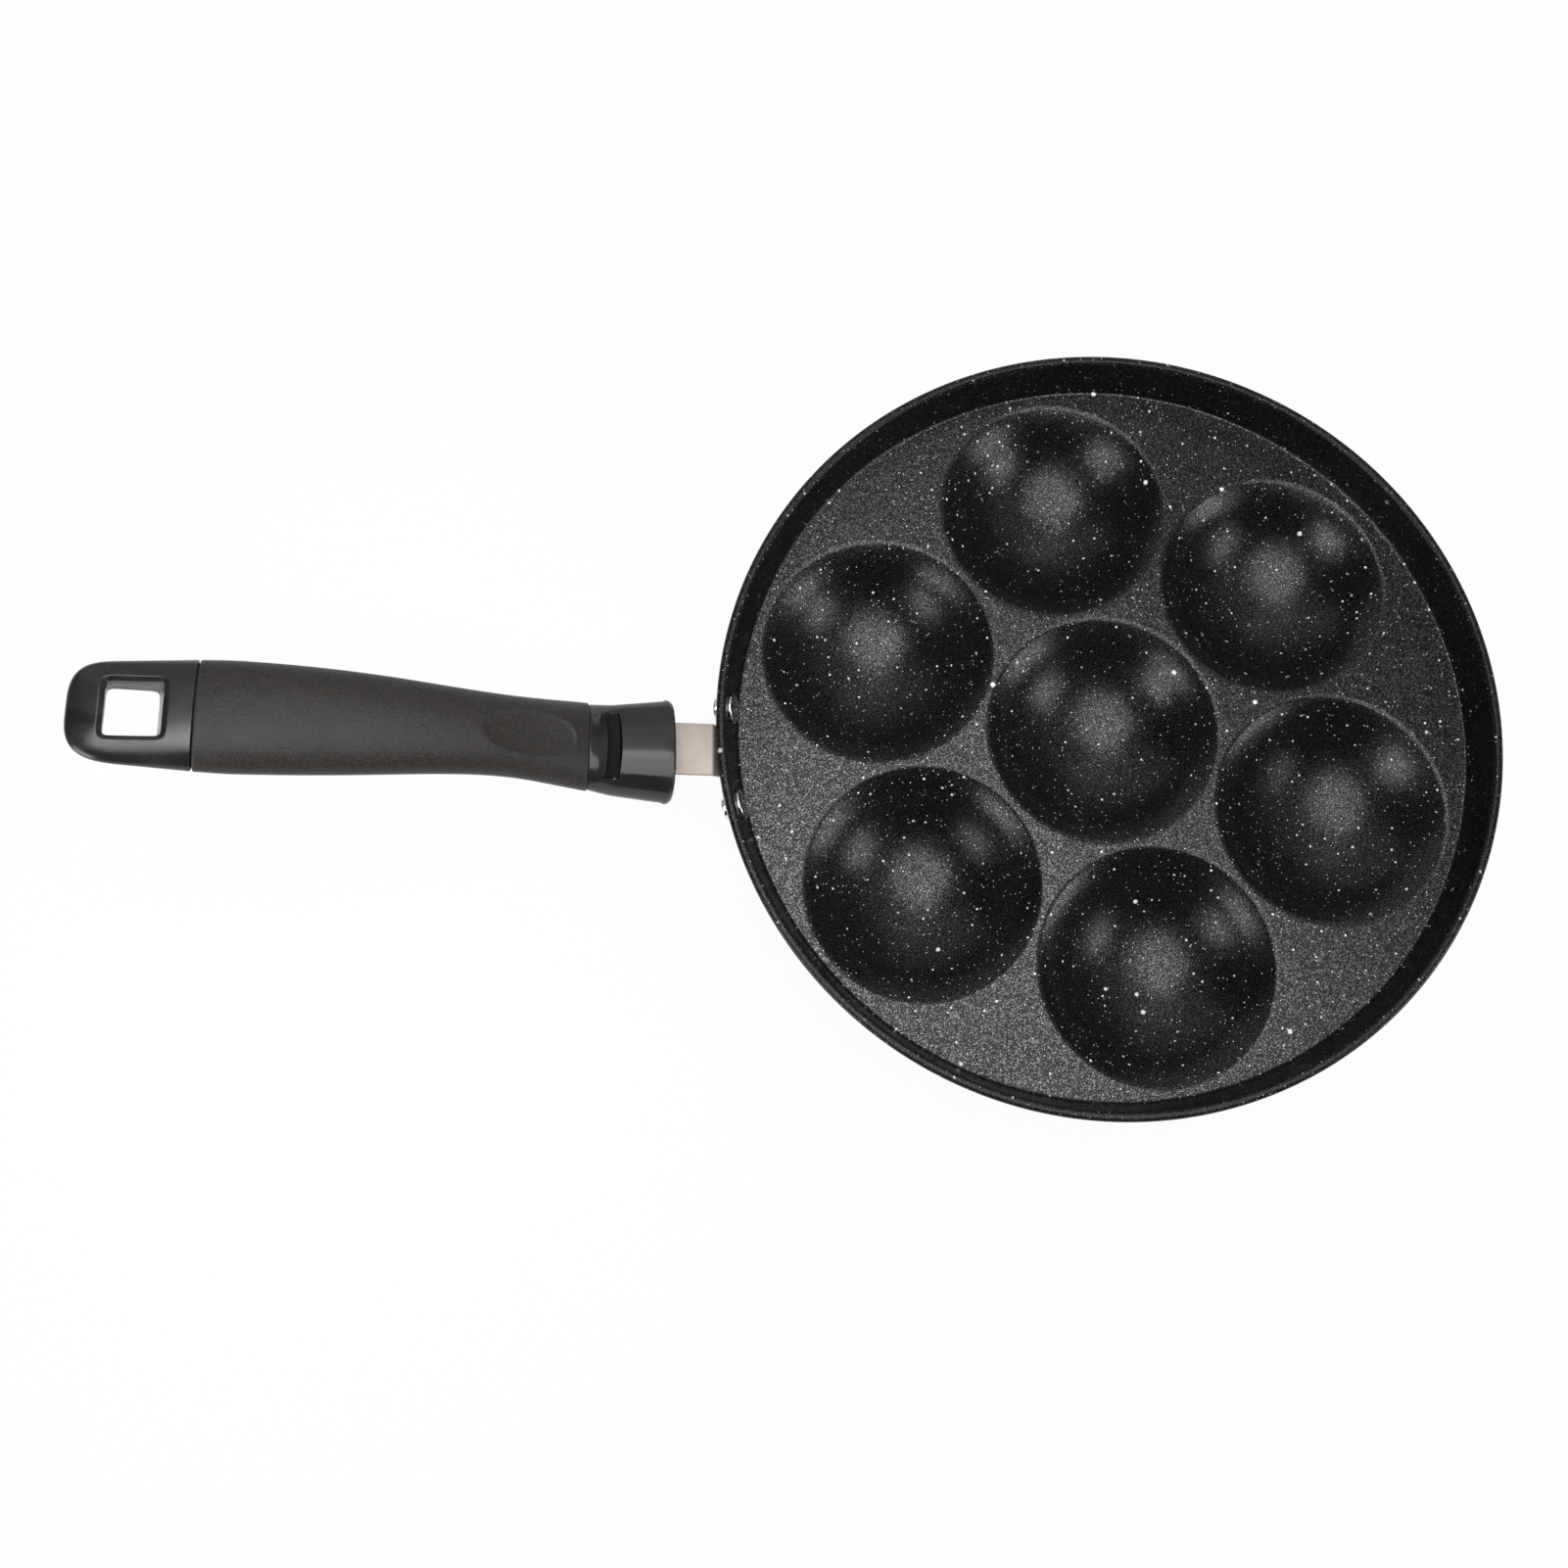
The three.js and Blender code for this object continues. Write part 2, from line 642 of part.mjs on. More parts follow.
// The rigid beam that fills the grip and reaches into ferrule and end cap
function core() {
  const margin = 2 * (GRIP_WALL + CLEARANCE);
  const rings = tenonRings(0, gripStart);
  for (const t of evenly(gripStart, capStart, 12)) {
    rings.push(section(t, gripWidth(t) - margin, gripHeight(t) - margin));
  }
  for (const t of [capStart, capStart + REAR_TENON_LENGTH]) {
    rings.push(section(t, REAR_TENON_WIDTH, REAR_TENON_HEIGHT));
  }
  return solid(loft(rings)).subtract(screwWay(FERRULE_FRONT_HEIGHT));
}

// The soft sleeve, with chamfered ends and a shallow oval for the thumb
function grip() {
  const rear = capStart - CLEARANCE;
  const edge = 2 * SEAM_CHAMFER;
  const outside = [section(gripStart, gripWidth(gripStart) - edge, gripHeight(gripStart) - edge)];
  for (const t of evenly(gripStart + SEAM_CHAMFER, rear - SEAM_CHAMFER, 16)) {
    outside.push(section(t, gripWidth(t), gripHeight(t)));
  }
  outside.push(section(rear, gripWidth(rear) - edge, gripHeight(rear) - edge));
  const bore = evenly(gripStart, capStart, 12).map((t) => (
    section(t, gripWidth(t) - 2 * GRIP_WALL, gripHeight(t) - 2 * GRIP_WALL)
  ));
  const mouth = (t, from) => (
    section(t, gripWidth(from) - 2 * GRIP_WALL, gripHeight(from) - 2 * GRIP_WALL)
  );
  bore.unshift(mouth(gripStart - GRIP_WALL, gripStart));
  bore.push(mouth(capStart + GRIP_WALL, capStart));
  return solid(loft(outside)).subtract(solid(loft(bore))).subtract(thumbRest());
}

// A flat oval lens that sinks into the top of the grip
function thumbRest() {
  const t = gripStart + THUMB_REST_AT;
  const lens = new THREE.SphereGeometry(1, 2 * SMALL_SIDES, SMALL_SIDES);
  lens.scale(THUMB_LENS_LENGTH / 2, THUMB_LENS_WIDTH / 2, THUMB_LENS_HEIGHT / 2);
  lens.translate(0, 0, (gripHeight(t) + THUMB_LENS_HEIGHT) / 2 - THUMB_REST_DEPTH);
  return solid(standOnLine(lens, t));
}

// The end cap, rounded at the tail, with its hanging hole and sunk lip
function endCap() {
  const front = capStart;
  const edge = 2 * SEAM_CHAMFER;
  const holeStation = front + HOLE_AT;
  const width = through([[front, CAP_FRONT_WIDTH], [tailEnd, CAP_TAIL_WIDTH]]);
  const height = through([
    [front, CAP_FRONT_HEIGHT],
    [holeStation, CAP_HOLE_HEIGHT],
    [tailEnd, CAP_TAIL_HEIGHT],
  ]);
  const roundStart = tailEnd - CAP_END_ROUND;
  const rings = [section(front, width(front) - edge, height(front) - edge)];
  for (const t of evenly(front + SEAM_CHAMFER, roundStart, 5)) {
    rings.push(section(t, width(t), height(t)));
  }
  for (const turn of evenly(Math.PI / 12, Math.PI / 2.15, 6)) {
    const along = Math.sin(turn);
    const t = roundStart + CAP_END_ROUND * along;
    const inward = (1 - along ** END_POWER) ** (1 / END_POWER);
    rings.push(section(t, width(t) * inward, height(t) * (1 + inward) / 2));
  }
  const tenon = [front - CLEARANCE, front + REAR_TENON_LENGTH + CLEARANCE].map((t) => (
    section(t, REAR_TENON_WIDTH + 2 * CLEARANCE, REAR_TENON_HEIGHT + 2 * CLEARANCE)
  ));
  const top = CAP_HOLE_HEIGHT / 2;
  const hole = loft([-2 * top, -top, 0, top, 2 * top].map((level) => {
    const narrower = level === 0 ? 2 * HOLE_WAIST : 0;
    return roundedRing(HOLE_LENGTH - narrower, HOLE_WIDTH - narrower, HOLE_CORNER, level);
  }));
  const lip = roundedPlate(
    HOLE_LENGTH + 2 * LIP_BORDER,
    HOLE_WIDTH + 2 * LIP_BORDER,
    HOLE_CORNER + LIP_BORDER,
    top - LIP_DEPTH,
    2 * top,
  );
  const body = solid(loft(rings)).subtract(solid(loft(tenon)));
  const holed = body.subtract(solid(standOnLine(hole, holeStation)));
  return holed.subtract(solid(standOnLine(lip, holeStation)));
}

// The finished pan

const coating = { color: 0x262626, roughness: 0.45, metalness: 0.1 };
const aluminium = { color: 0xc9c8c6, roughness: 0.3, metalness: 1 };
const strapSteel = { color: 0xb5aca3, roughness: 0.4, metalness: 1 };
const screwSteel = { color: 0x9a9a9a, roughness: 0.35, metalness: 1 };
const glossBlack = { color: 0x171717, roughness: 0.16, metalness: 0 };
const softGrey = { color: 0x3b3a39, roughness: 0.75, metalness: 0 };
const mouldedBlack = { color: 0x1d1d1d, roughness: 0.5, metalness: 0 };

const handle = new THREE.Group();
handle.position.set(-rootRadius, 0, rootHeight);
handle.rotation.z = Math.PI - skew;
handle.add(
  piece('ferrule', ferrule(), glossBlack),
  piece('handle_core', core(), mouldedBlack),
  piece('grip_sleeve', grip(), softGrey),
  piece('end_cap', endCap(), glossBlack),
  piece('tang_screw', screw(), screwSteel),
  piece('lock_washer', washer(), screwSteel),
);

const pan = new THREE.Group();
pan.add(
  piece('pan_body', panBody(), coating),
  piece('handle_bracket', bracket(), strapSteel),
  piece('left_rivet', rivet(-1), aluminium),
  piece('right_rivet', rivet(1), aluminium),
  handle,
);

export default pan;
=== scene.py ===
import math

import bmesh
import bpy
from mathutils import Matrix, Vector


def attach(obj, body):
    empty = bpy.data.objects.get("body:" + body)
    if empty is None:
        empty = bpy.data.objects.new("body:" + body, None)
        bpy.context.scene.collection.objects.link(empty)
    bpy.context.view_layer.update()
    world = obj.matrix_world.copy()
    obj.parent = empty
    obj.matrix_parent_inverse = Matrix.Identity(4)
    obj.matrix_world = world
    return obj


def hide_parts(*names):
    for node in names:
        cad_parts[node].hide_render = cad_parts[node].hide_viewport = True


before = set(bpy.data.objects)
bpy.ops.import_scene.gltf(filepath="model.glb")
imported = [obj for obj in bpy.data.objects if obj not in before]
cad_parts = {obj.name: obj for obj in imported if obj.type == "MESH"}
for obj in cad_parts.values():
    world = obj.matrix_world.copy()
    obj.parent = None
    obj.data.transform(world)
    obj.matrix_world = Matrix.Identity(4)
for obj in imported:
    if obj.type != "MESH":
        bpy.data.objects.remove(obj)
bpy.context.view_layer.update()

# Sizes, in millimetres from the pan's axis and resting plane

MM = 0.001
GAP = 0.3
SEAM_GAP = 0.12
SEAM_ROUND = 0.4
SKIN_GAP = 0.02
WELD_DISTANCE = 0.004
SLIVER_LENGTH = 0.001
JOIN_DISTANCE = 0.01
SHARP_EDGE = math.radians(38)

WELL_PITCH = 74.76
WELL_RING_TURN = math.radians(34.2)
RING_WELLS = 6
WELL_MOUTH = 37.2
WELL_FLARE = 35.4
WELL_BOWL = 28.5
BOWL_RADIUS = 37.0
LIP_SLOPE = math.radians(34)
WELL_SHIFT = -0.7
WELL_LAND = 0.08
OUTSIDE_RADIUS = 41.047
OUTSIDE_CENTRE = 41.447
OUTSIDE_LAND = 0.5
PAD_RADIUS = 12.0
PAD_SLOPE = 1.6
PAD_EDGE = 0.3
PAD_EDGE_LIFT = 0.08

FLOOR_TOP = 25.0
FLOOR_UNDER = 22.4
FLOOR_RADIUS = 114.56
FLARE = math.radians(11)
ROUND_REACH = math.tan((math.pi / 2 - FLARE) / 2)
WALL = 2.4
CORNER_ROUND = 0.9
FLOOR_LAND = 0.15
FOOT_ROUND = 4.0
RIM_HEIGHT = 40.2
RIM_RADIUS = 120.16
RIM_ROUND = 1.2
RIM_SKIRT = 1.5
WALL_BAND = (27.5, 30.0)
RIM_BAND = (38.5, 39.5)

RIVET_LEVEL = 32.3
RIVET_SPACING = 30.6
RIVET_HEAD = 4.7
RIVET_HEAD_HEIGHT = 1.3
RIVET_HEAD_EDGE = 0.9
RIVET_HEAD_CHAMFER = 0.15
RIVET_FLAT = 0.80 * RIVET_HEAD
RIVET_CROWN = (0.02, 0.06, 0.15)
RIVET_SHANK = 2.5
RIVET_TAIL = 3.5
RIVET_TAIL_HEIGHT = 1.3
RIVET_TAIL_EDGE = 0.8
RIVET_TAIL_CHAMFER = 0.2

STEEL = 1.5
PLATE = 1.2
PLATE_ROUND = 0.35
PLATE_ROUND_SHARE = 0.6
EAR_GAP = 0.1
EAR_WIDTH = 41.6
EAR_HEIGHT = 9.0
EAR_DROP = 0.6
EAR_CORNER = 4.5
EAR_TIP = 0.05
STRAP_WIDTH = 15.8
STRAP_SHIFT = 1.15
STRAP_BOTTOM = -7.5
STRAP_FOOT = -3.8
FOOT_BEND = 0.9
FOOT_LEAD = 1.2
STRAP_CORNER = -0.4
CORNER_BEND = 0.36
CORNER_LEAD = 0.7
SKEW_RUN = (-1.5, 0.5)
ROOT_RADIUS = 122.165
ROOT_HEIGHT = 38.8
HANDLE_SKEW = math.radians(4.55)

FERRULE_START = 11.4
SCREW_PLACE = 21.4
STRAP_END = 26.4
KNEE = 29.6
KNEE_RUN = 4.0
GRIP_START = 37.0
LEAN_RUN = 15.0
NECK_END = 52.2
CAP_START = 141.8
HOLE_PLACE = 157.3
TAIL_END = 172.72
STRAP_SLOPE = math.radians(12.7)
NECK_SLOPE = math.radians(36.5)
TAIL_SLOPE = math.radians(12.5)
EASE_LENGTH = 36.0
LINE_STEP = 0.25
LINE_SPARE = 10
SECTION_POWER = 2.05

WELL_SIDES = 128
PAN_SIDES = 256
SECTION_SIDES = 128
ROUND_SIDES = 64
SCREW_SIDES = 48


# Small helpers for meshes

def spread(start, end, steps):
    return [start + (end - start) * i / steps for i in range(steps + 1)]


def smooth_rise(value, low, high):
    share = min(max((value - low) / (high - low), 0), 1)
    return share * share * (3 - 2 * share)


def arc(centre, radius, start, end, steps):
    turns = spread(math.radians(start), math.radians(end), steps)
    return [(centre[0] + radius * math.cos(a), centre[1] + radius * math.sin(a)) for a in turns]


def bend(start, corner, end, steps):
    """A rounded way from start to end that leaves and arrives in line with the corner."""
    points = []
    for s in spread(0, 1, steps):
        weights = ((1 - s) ** 2, 2 * s * (1 - s), s * s)
        points.append(tuple(sum(w * p[i] for w, p in zip(weights, (start, corner, end))) for i in (0, 1)))
    return points


def turned(profile, sides):
    """A profile of radius and height turned about the upright axis."""
    points = []
    for radius, height in profile:
        for i in range(sides):
            turn = 2 * math.pi * i / sides
            points.append((radius * math.cos(turn), radius * math.sin(turn), height))
    return points, strips(len(profile), sides)


def strips(rings, count, closed=False):
    """Faces from each ring to the next, and from the last to the first where they close."""
    faces = []
    for k in range(rings if closed else rings - 1):
        near, far = k * count, (k + 1) % rings * count
        for i in range(count):
            j = (i + 1) % count
            faces.append((near + i, near + j, far + j, far + i))
    return faces


def lofted(rings):
    """A skin through rings of equally many points, closed at both ends."""
    count = len(rings[0])
    points = [point for ring in rings for point in ring]
    faces = strips(len(rings), count)
    faces.append(tuple(range(count)))
    faces.append(tuple(range(len(points) - count, len(points))))
    return points, faces


def joined(*shapes):
    points, faces = [], []
    for more_points, more_faces in shapes:
        start = len(points)
        points += more_points
        faces += [tuple(start + i for i in face) for face in more_faces]
    return points, faces


def closed_mesh(mesh):
    """Merges doubles, turns all faces outward and keeps only steep edges sharp."""
    work = bmesh.new()
    work.from_mesh(mesh)
    bmesh.ops.remove_doubles(work, verts=work.verts, dist=WELD_DISTANCE * MM)
    bmesh.ops.dissolve_degenerate(work, edges=work.edges, dist=SLIVER_LENGTH * MM)
    bmesh.ops.recalc_face_normals(work, faces=work.faces)
    work.to_mesh(mesh)
    work.free()
    mesh.shade_smooth()
    mesh.set_sharp_from_angle(angle=SHARP_EDGE)


def piece(name, shape, finish):
    points, faces = shape
    mesh = bpy.data.meshes.new(name)
    mesh.from_pydata([Vector(point) * MM for point in points], [], faces)
    closed_mesh(mesh)
    mesh.materials.append(finish)
    made = bpy.data.objects.new(name, mesh)
    bpy.context.scene.collection.objects.link(made)
    return made


def settle(made):
    """Turns what the modifiers make into the object's own plain mesh."""
    bpy.context.view_layer.update()
    graph = bpy.context.evaluated_depsgraph_get()
    mesh = bpy.data.meshes.new_from_object(made.evaluated_get(graph))
    made.modifiers.clear()
    made.data = mesh
    closed_mesh(mesh)


def cut_away(made, shape):
    """Takes a closed shape out of a piece."""
    cutter = piece("cutter", shape, made.data.materials[0])
    cut = made.modifiers.new("cut", "BOOLEAN")
    cut.operation = "DIFFERENCE"
    cut.solver = "EXACT"
    cut.object = cutter
    settle(made)
    bpy.data.objects.remove(cutter)


def mount(made, slot, *nodes):
    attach(made, "root")
    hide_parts(*nodes)


# Small helpers for node trees

def node(tree, kind, settings=None, **inputs):
    made = tree.nodes.new(kind)
    for name, value in (settings or {}).items():
        setattr(made, name, value)
    for name, value in inputs.items():
        feed(made.inputs[name.replace("_", " ")], value)
    return made


def feed(socket, value):
    """Links a socket to another one or to a node's first output, or sets its value."""
    if isinstance(value, bpy.types.Node):
        value = value.outputs[0]
    if isinstance(value, bpy.types.NodeSocket):
        socket.id_data.links.new(value, socket)
    else:
        socket.default_value = value


def sums(tree, operation, *values):
    made = tree.nodes.new("ShaderNodeMath")
    made.operation = operation
    for socket, value in zip(made.inputs, values):
        feed(socket, value)
    return made


def colour_mix(tree, share, first, second):
    made = tree.nodes.new("ShaderNodeMix")
    made.data_type = "RGBA"
    feed(made.inputs[0], share)
    feed(made.inputs[6], first)
    feed(made.inputs[7], second)
    return made.outputs[2]


def between(tree, value, low, high, to_low, to_high, smooth=False):
    """Carries a value over from one range to another."""
    return node(
        tree, "ShaderNodeMapRange", {"interpolation_type": "SMOOTHSTEP" if smooth else "LINEAR"},
        Value=value, From_Min=low, From_Max=high, To_Min=to_low, To_Max=to_high,
    )


def grey(value):
    return (value, value, value, 1)


def own_place(tree):
    """A piece's own coordinates."""
    return node(tree, "ShaderNodeTexCoord").outputs["Object"]


def node_group(name, kind, inputs, outputs):
    """A node tree with named sockets, what it is given by name, and its output node."""
    tree = bpy.data.node_groups.new(name, kind)
    for socket_name, socket_type, default in inputs:
        socket = tree.interface.new_socket(socket_name, in_out="INPUT", socket_type=socket_type)
        if default is not None:
            socket.default_value = default
    for socket_name, socket_type in outputs:
        tree.interface.new_socket(socket_name, in_out="OUTPUT", socket_type=socket_type)
    entry = tree.nodes.new("NodeGroupInput")
    given = {socket.name: socket for socket in entry.outputs}
    return tree, given, tree.nodes.new("NodeGroupOutput")


# Effects that several finishes share

def fine_grain_group():
    tree, given, out = node_group(
        "fine_grain", "ShaderNodeTree",
        [("Size", "NodeSocketFloat", 0.0005), ("Stretch", "NodeSocketVector", (1, 1, 1))],
        [("Grain", "NodeSocketFloat")],
    )
    stretched = node(tree, "ShaderNodeMapping", Vector=own_place(tree), Scale=given["Stretch"])
    scale = sums(tree, "DIVIDE", 1.0, given["Size"])
    noise = node(tree, "ShaderNodeTexNoise", Vector=stretched, Scale=scale, Detail=2.0, Roughness=0.6)
    feed(out.inputs["Grain"], between(tree, noise.outputs["Fac"], 0.3, 0.7, 0.0, 1.0))
    return tree


def smudge_group():
    tree, given, out = node_group(
        "handling_smudges", "ShaderNodeTree",
        [("Size", "NodeSocketFloat", 0.02)],
        [("Smudge", "NodeSocketFloat")],
    )
    scale = sums(tree, "DIVIDE", 1.0, given["Size"])
    place = own_place(tree)
    noise = node(tree, "ShaderNodeTexNoise", Vector=place, Scale=scale, Detail=4.0, Distortion=0.6)
    feed(out.inputs["Smudge"], between(tree, noise.outputs["Fac"], 0.38, 0.66, 0.0, 1.0, smooth=True))
    return tree


def edge_rub_group():
    tree, given, out = node_group(
        "edge_rub", "ShaderNodeTree",
        [("Reach", "NodeSocketFloat", 0.06)],
        [("Rub", "NodeSocketFloat")],
    )
    shape = node(tree, "ShaderNodeNewGeometry")
    noise = node(tree, "ShaderNodeTexNoise", Vector=own_place(tree), Scale=900.0, Detail=3.0)
    flat_face = 0.51
    worn_edge = sums(tree, "ADD", flat_face, given["Reach"])
    edge = between(tree, shape.outputs["Pointiness"], flat_face, worn_edge, 0.0, 1.0)
    feed(out.inputs["Rub"], sums(tree, "MULTIPLY", edge, noise.outputs["Fac"]))
    return tree


def speck_group():
    tree, given, out = node_group(
        "thrown_specks", "ShaderNodeTree",
        [
            ("Spacing", "NodeSocketFloat", 0.003),
            ("Radius", "NodeSocketFloat", 0.0003),
            ("Share", "NodeSocketFloat", 0.7),
        ],
        [("Specks", "NodeSocketFloat")],
    )
    ragged = 0.4 * MM
    place = own_place(tree)
    wobble = node(tree, "ShaderNodeTexNoise", Vector=place, Scale=1500.0, Detail=1.0)
    centred = node(tree, "ShaderNodeVectorMath", {"operation": "SUBTRACT"})
    feed(centred.inputs[0], wobble.outputs["Color"])
    feed(centred.inputs[1], (0.5, 0.5, 0.5))
    nudge = node(tree, "ShaderNodeVectorMath", {"operation": "SCALE"}, Scale=ragged)
    feed(nudge.inputs[0], centred)
    moved = node(tree, "ShaderNodeVectorMath", {"operation": "ADD"})
    feed(moved.inputs[0], place)
    feed(moved.inputs[1], nudge)
    scale = sums(tree, "DIVIDE", 1.0, given["Spacing"])
    cells = node(tree, "ShaderNodeTexVoronoi", Vector=moved, Scale=scale)
    reach = sums(tree, "MULTIPLY", given["Radius"], scale)
    inside = sums(tree, "SUBTRACT", 1.0, sums(tree, "DIVIDE", cells.outputs["Distance"], reach))
    dot = between(tree, inside, 0.0, 0.35, 0.0, 1.0, smooth=True)
    lot = node(tree, "ShaderNodeSeparateColor", Color=cells.outputs["Color"])
    drawn = sums(tree, "LESS_THAN", lot.outputs["Red"], given["Share"])
    feed(out.inputs["Specks"], sums(tree, "MULTIPLY", dot, drawn))
    return tree


FINE_GRAIN = fine_grain_group()
SMUDGES = smudge_group()
EDGE_RUB = edge_rub_group()
SPECKS = speck_group()


def effect(tree, group, **inputs):
    return node(tree, "ShaderNodeGroup", {"node_tree": group}, **inputs)


def new_finish(name, metallic=0.0, shine=0.5):
    material = bpy.data.materials.new(name)
    material.use_nodes = True
    tree = material.node_tree
    shader = tree.nodes["Principled BSDF"]
    shader.inputs["Metallic"].default_value = metallic
    shader.inputs["Specular IOR Level"].default_value = shine
    return material, tree, shader


def paint(tree, shader, colour):
    feed(shader.inputs["Base Color"], colour)


def rubbed(tree, shader, colour, bare, reach):
    """Paints with a colour that is rubbed towards a bare one on the edges."""
    paint(tree, shader, colour_mix(tree, effect(tree, EDGE_RUB, Reach=reach), colour, bare))


def dull(tree, shader, mask, smoothest, roughest):
    """Roughness that follows a mask."""
    feed(shader.inputs["Roughness"], between(tree, mask, 0, 1, smoothest, roughest))


def cloud_over(tree, shader, mask, smoothest, roughest, cloud, added):
    """Roughness that follows a mask, with a little more where the cloud is."""
    rough = between(tree, mask, 0, 1, smoothest, roughest)
    more = between(tree, cloud, 0, 1, 0.0, added)
    feed(shader.inputs["Roughness"], sums(tree, "ADD", rough, more))


def bump(tree, shader, height, strength, distance):
    relief = node(tree, "ShaderNodeBump", Strength=strength, Distance=distance, Height=height)
    feed(shader.inputs["Normal"], relief)


# Finishes

COATING_BLACK = grey(0.0028)
COATING_FLAKE = (0.136, 0.134, 0.131, 1)
COATING_SPECK = (0.96, 0.95, 0.93, 1)
FLAKE_LIMITS = (0.61, 0.72)
# Share of metal flakes left on the rim band; thinning them darkens the rim's lit crown as painted shade.
FLAKES_LEFT_IN_RIM_SHADE = 0.4
SPECK_SIZES = ((1.5, 0.21, 0.75), (4.2, 0.46, 0.7), (12.0, 0.9, 0.45))
# Share of white specks left up the wall, where fading them out paints shade on it.
SPECKS_LEFT_IN_WALL_SHADE = 0.25
SPECKS_ADDED_ON_RIM = 0.3


def speckled_coating():
    """Black coating with metal flakes, and white specks of three sizes by spacing, radius and share; the
    specks fade up the wall and the flakes thin on the rim, as painted shade.
    """
    material, tree, shader = new_finish("speckled_coating", shine=0.2)
    grain = effect(tree, FINE_GRAIN, Size=0.00036)
    cloud = effect(tree, SMUDGES, Size=0.03)
    height = node(tree, "ShaderNodeSeparateXYZ", Vector=own_place(tree)).outputs["Z"]
    wall_foot, wall_up = (level * MM for level in WALL_BAND)
    rim_foot, rim_up = (level * MM for level in RIM_BAND)
    # Painted shade: fewer flakes on the rim band, so its crown reads darker.
    rim_shade_thinning = between(tree, height, rim_foot, rim_up, 1.0, FLAKES_LEFT_IN_RIM_SHADE)
    flakes = sums(tree, "MULTIPLY", between(tree, grain, *FLAKE_LIMITS, 0.0, 1.0), rim_shade_thinning)
    dark = colour_mix(tree, flakes, COATING_BLACK, COATING_FLAKE)
    specks = 0.0
    for spacing, radius, share in SPECK_SIZES:
        layer = effect(tree, SPECKS, Spacing=spacing * MM, Radius=radius * MM, Share=share)
        specks = sums(tree, "MAXIMUM", specks, layer)
    # Painted shade: the specks fade out up the wall so it reads darker, and the rim band gets part of them
    # back.
    wall_shade = between(tree, height, wall_foot, wall_up, 1.0, SPECKS_LEFT_IN_WALL_SHADE)
    on_rim = between(tree, height, rim_foot, rim_up, 0.0, SPECKS_ADDED_ON_RIM)
    specks = sums(tree, "MULTIPLY", specks, sums(tree, "ADD", wall_shade, on_rim))
    paint(tree, shader, colour_mix(tree, specks, dark, COATING_SPECK))
    feed(shader.inputs["Metallic"], sums(tree, "SUBTRACT", flakes, specks))
    cloud_over(tree, shader, grain, 0.22, 0.30, cloud, 0.03)
    relief = sums(tree, "ADD", grain, sums(tree, "MULTIPLY", specks, 1.5))
    bump(tree, shader, relief, 0.3, 0.00005)
    return material


def satin_steel():
    material, tree, shader = new_finish("satin_steel", metallic=1.0)
    lines = effect(tree, FINE_GRAIN, Size=0.0012, Stretch=(0.12, 3.0, 1.0))
    cloud = effect(tree, SMUDGES, Size=0.008)
    worn = colour_mix(tree, lines, (0.45, 0.392, 0.352, 1), (0.53, 0.462, 0.415, 1))
    rubbed(tree, shader, worn, (0.66, 0.60, 0.55, 1), 0.05)
    cloud_over(tree, shader, lines, 0.60, 0.70, cloud, 0.06)
    bump(tree, shader, lines, 0.12, 0.00004)
    return material


def rivet_aluminium():
    material, tree, shader = new_finish("rivet_aluminium", metallic=1.0)
    grain = effect(tree, FINE_GRAIN, Size=0.0007)
    base = colour_mix(tree, grain, grey(0.60), grey(0.72))
    rubbed(tree, shader, base, grey(0.85), 0.05)
    dull(tree, shader, grain, 0.10, 0.20)
    bump(tree, shader, grain, 0.10, 0.00004)
    return material


def moulded_black(name, smoothest, roughest, scuffed):
    """Black moulding, from glossy to scuffed by use."""
    material, tree, shader = new_finish(name)
    ripple = effect(tree, FINE_GRAIN, Size=0.003)
    smudge = effect(tree, SMUDGES, Size=0.012)
    base = colour_mix(tree, smudge, (0.0155, 0.0147, 0.0140, 1), (0.0195, 0.0185, 0.0176, 1))
    rubbed(tree, shader, base, grey(0.035), 0.08)
    dull(tree, shader, smudge, smoothest, roughest)
    scuffs = effect(tree, FINE_GRAIN, Size=0.0009)
    relief = sums(tree, "ADD", ripple, sums(tree, "MULTIPLY", scuffs, scuffed))
    bump(tree, shader, relief, 0.09, 0.0001)
    return material


# Painted shade: a near-black matte finish for the ferrule's notch, darker than the gloss black around it,
# so the recess reads as shaded.
def notch_matte():
    material, tree, shader = new_finish("notch_matte", shine=0.2)
    grain = effect(tree, FINE_GRAIN, Size=0.0006)
    paint(tree, shader, colour_mix(tree, grain, grey(0.003), grey(0.006)))
    dull(tree, shader, grain, 0.62, 0.78)
    bump(tree, shader, grain, 0.2, 0.00006)
    return material


def soft_touch_grip():
    material, tree, shader = new_finish("soft_touch_grip", shine=0.28)
    grain = effect(tree, FINE_GRAIN, Size=0.0006)
    smudge = effect(tree, SMUDGES, Size=0.018)
    base = colour_mix(tree, grain, (0.0160, 0.0143, 0.0130, 1), (0.0397, 0.0355, 0.0323, 1))
    rubbed(tree, shader, base, grey(0.07), 0.08)
    cloud_over(tree, shader, grain, 0.34, 0.46, smudge, 0.06)
    bump(tree, shader, grain, 0.55, 0.0001)
    return material


def screw_zinc():
    material, tree, shader = new_finish("screw_zinc", metallic=1.0)
    grain = effect(tree, FINE_GRAIN, Size=0.0005)
    base = colour_mix(tree, grain, (0.40, 0.40, 0.41, 1), (0.52, 0.52, 0.51, 1))
    rubbed(tree, shader, base, grey(0.7), 0.05)
    dull(tree, shader, grain, 0.26, 0.40)
    bump(tree, shader, grain, 0.1, 0.00004)
    return material


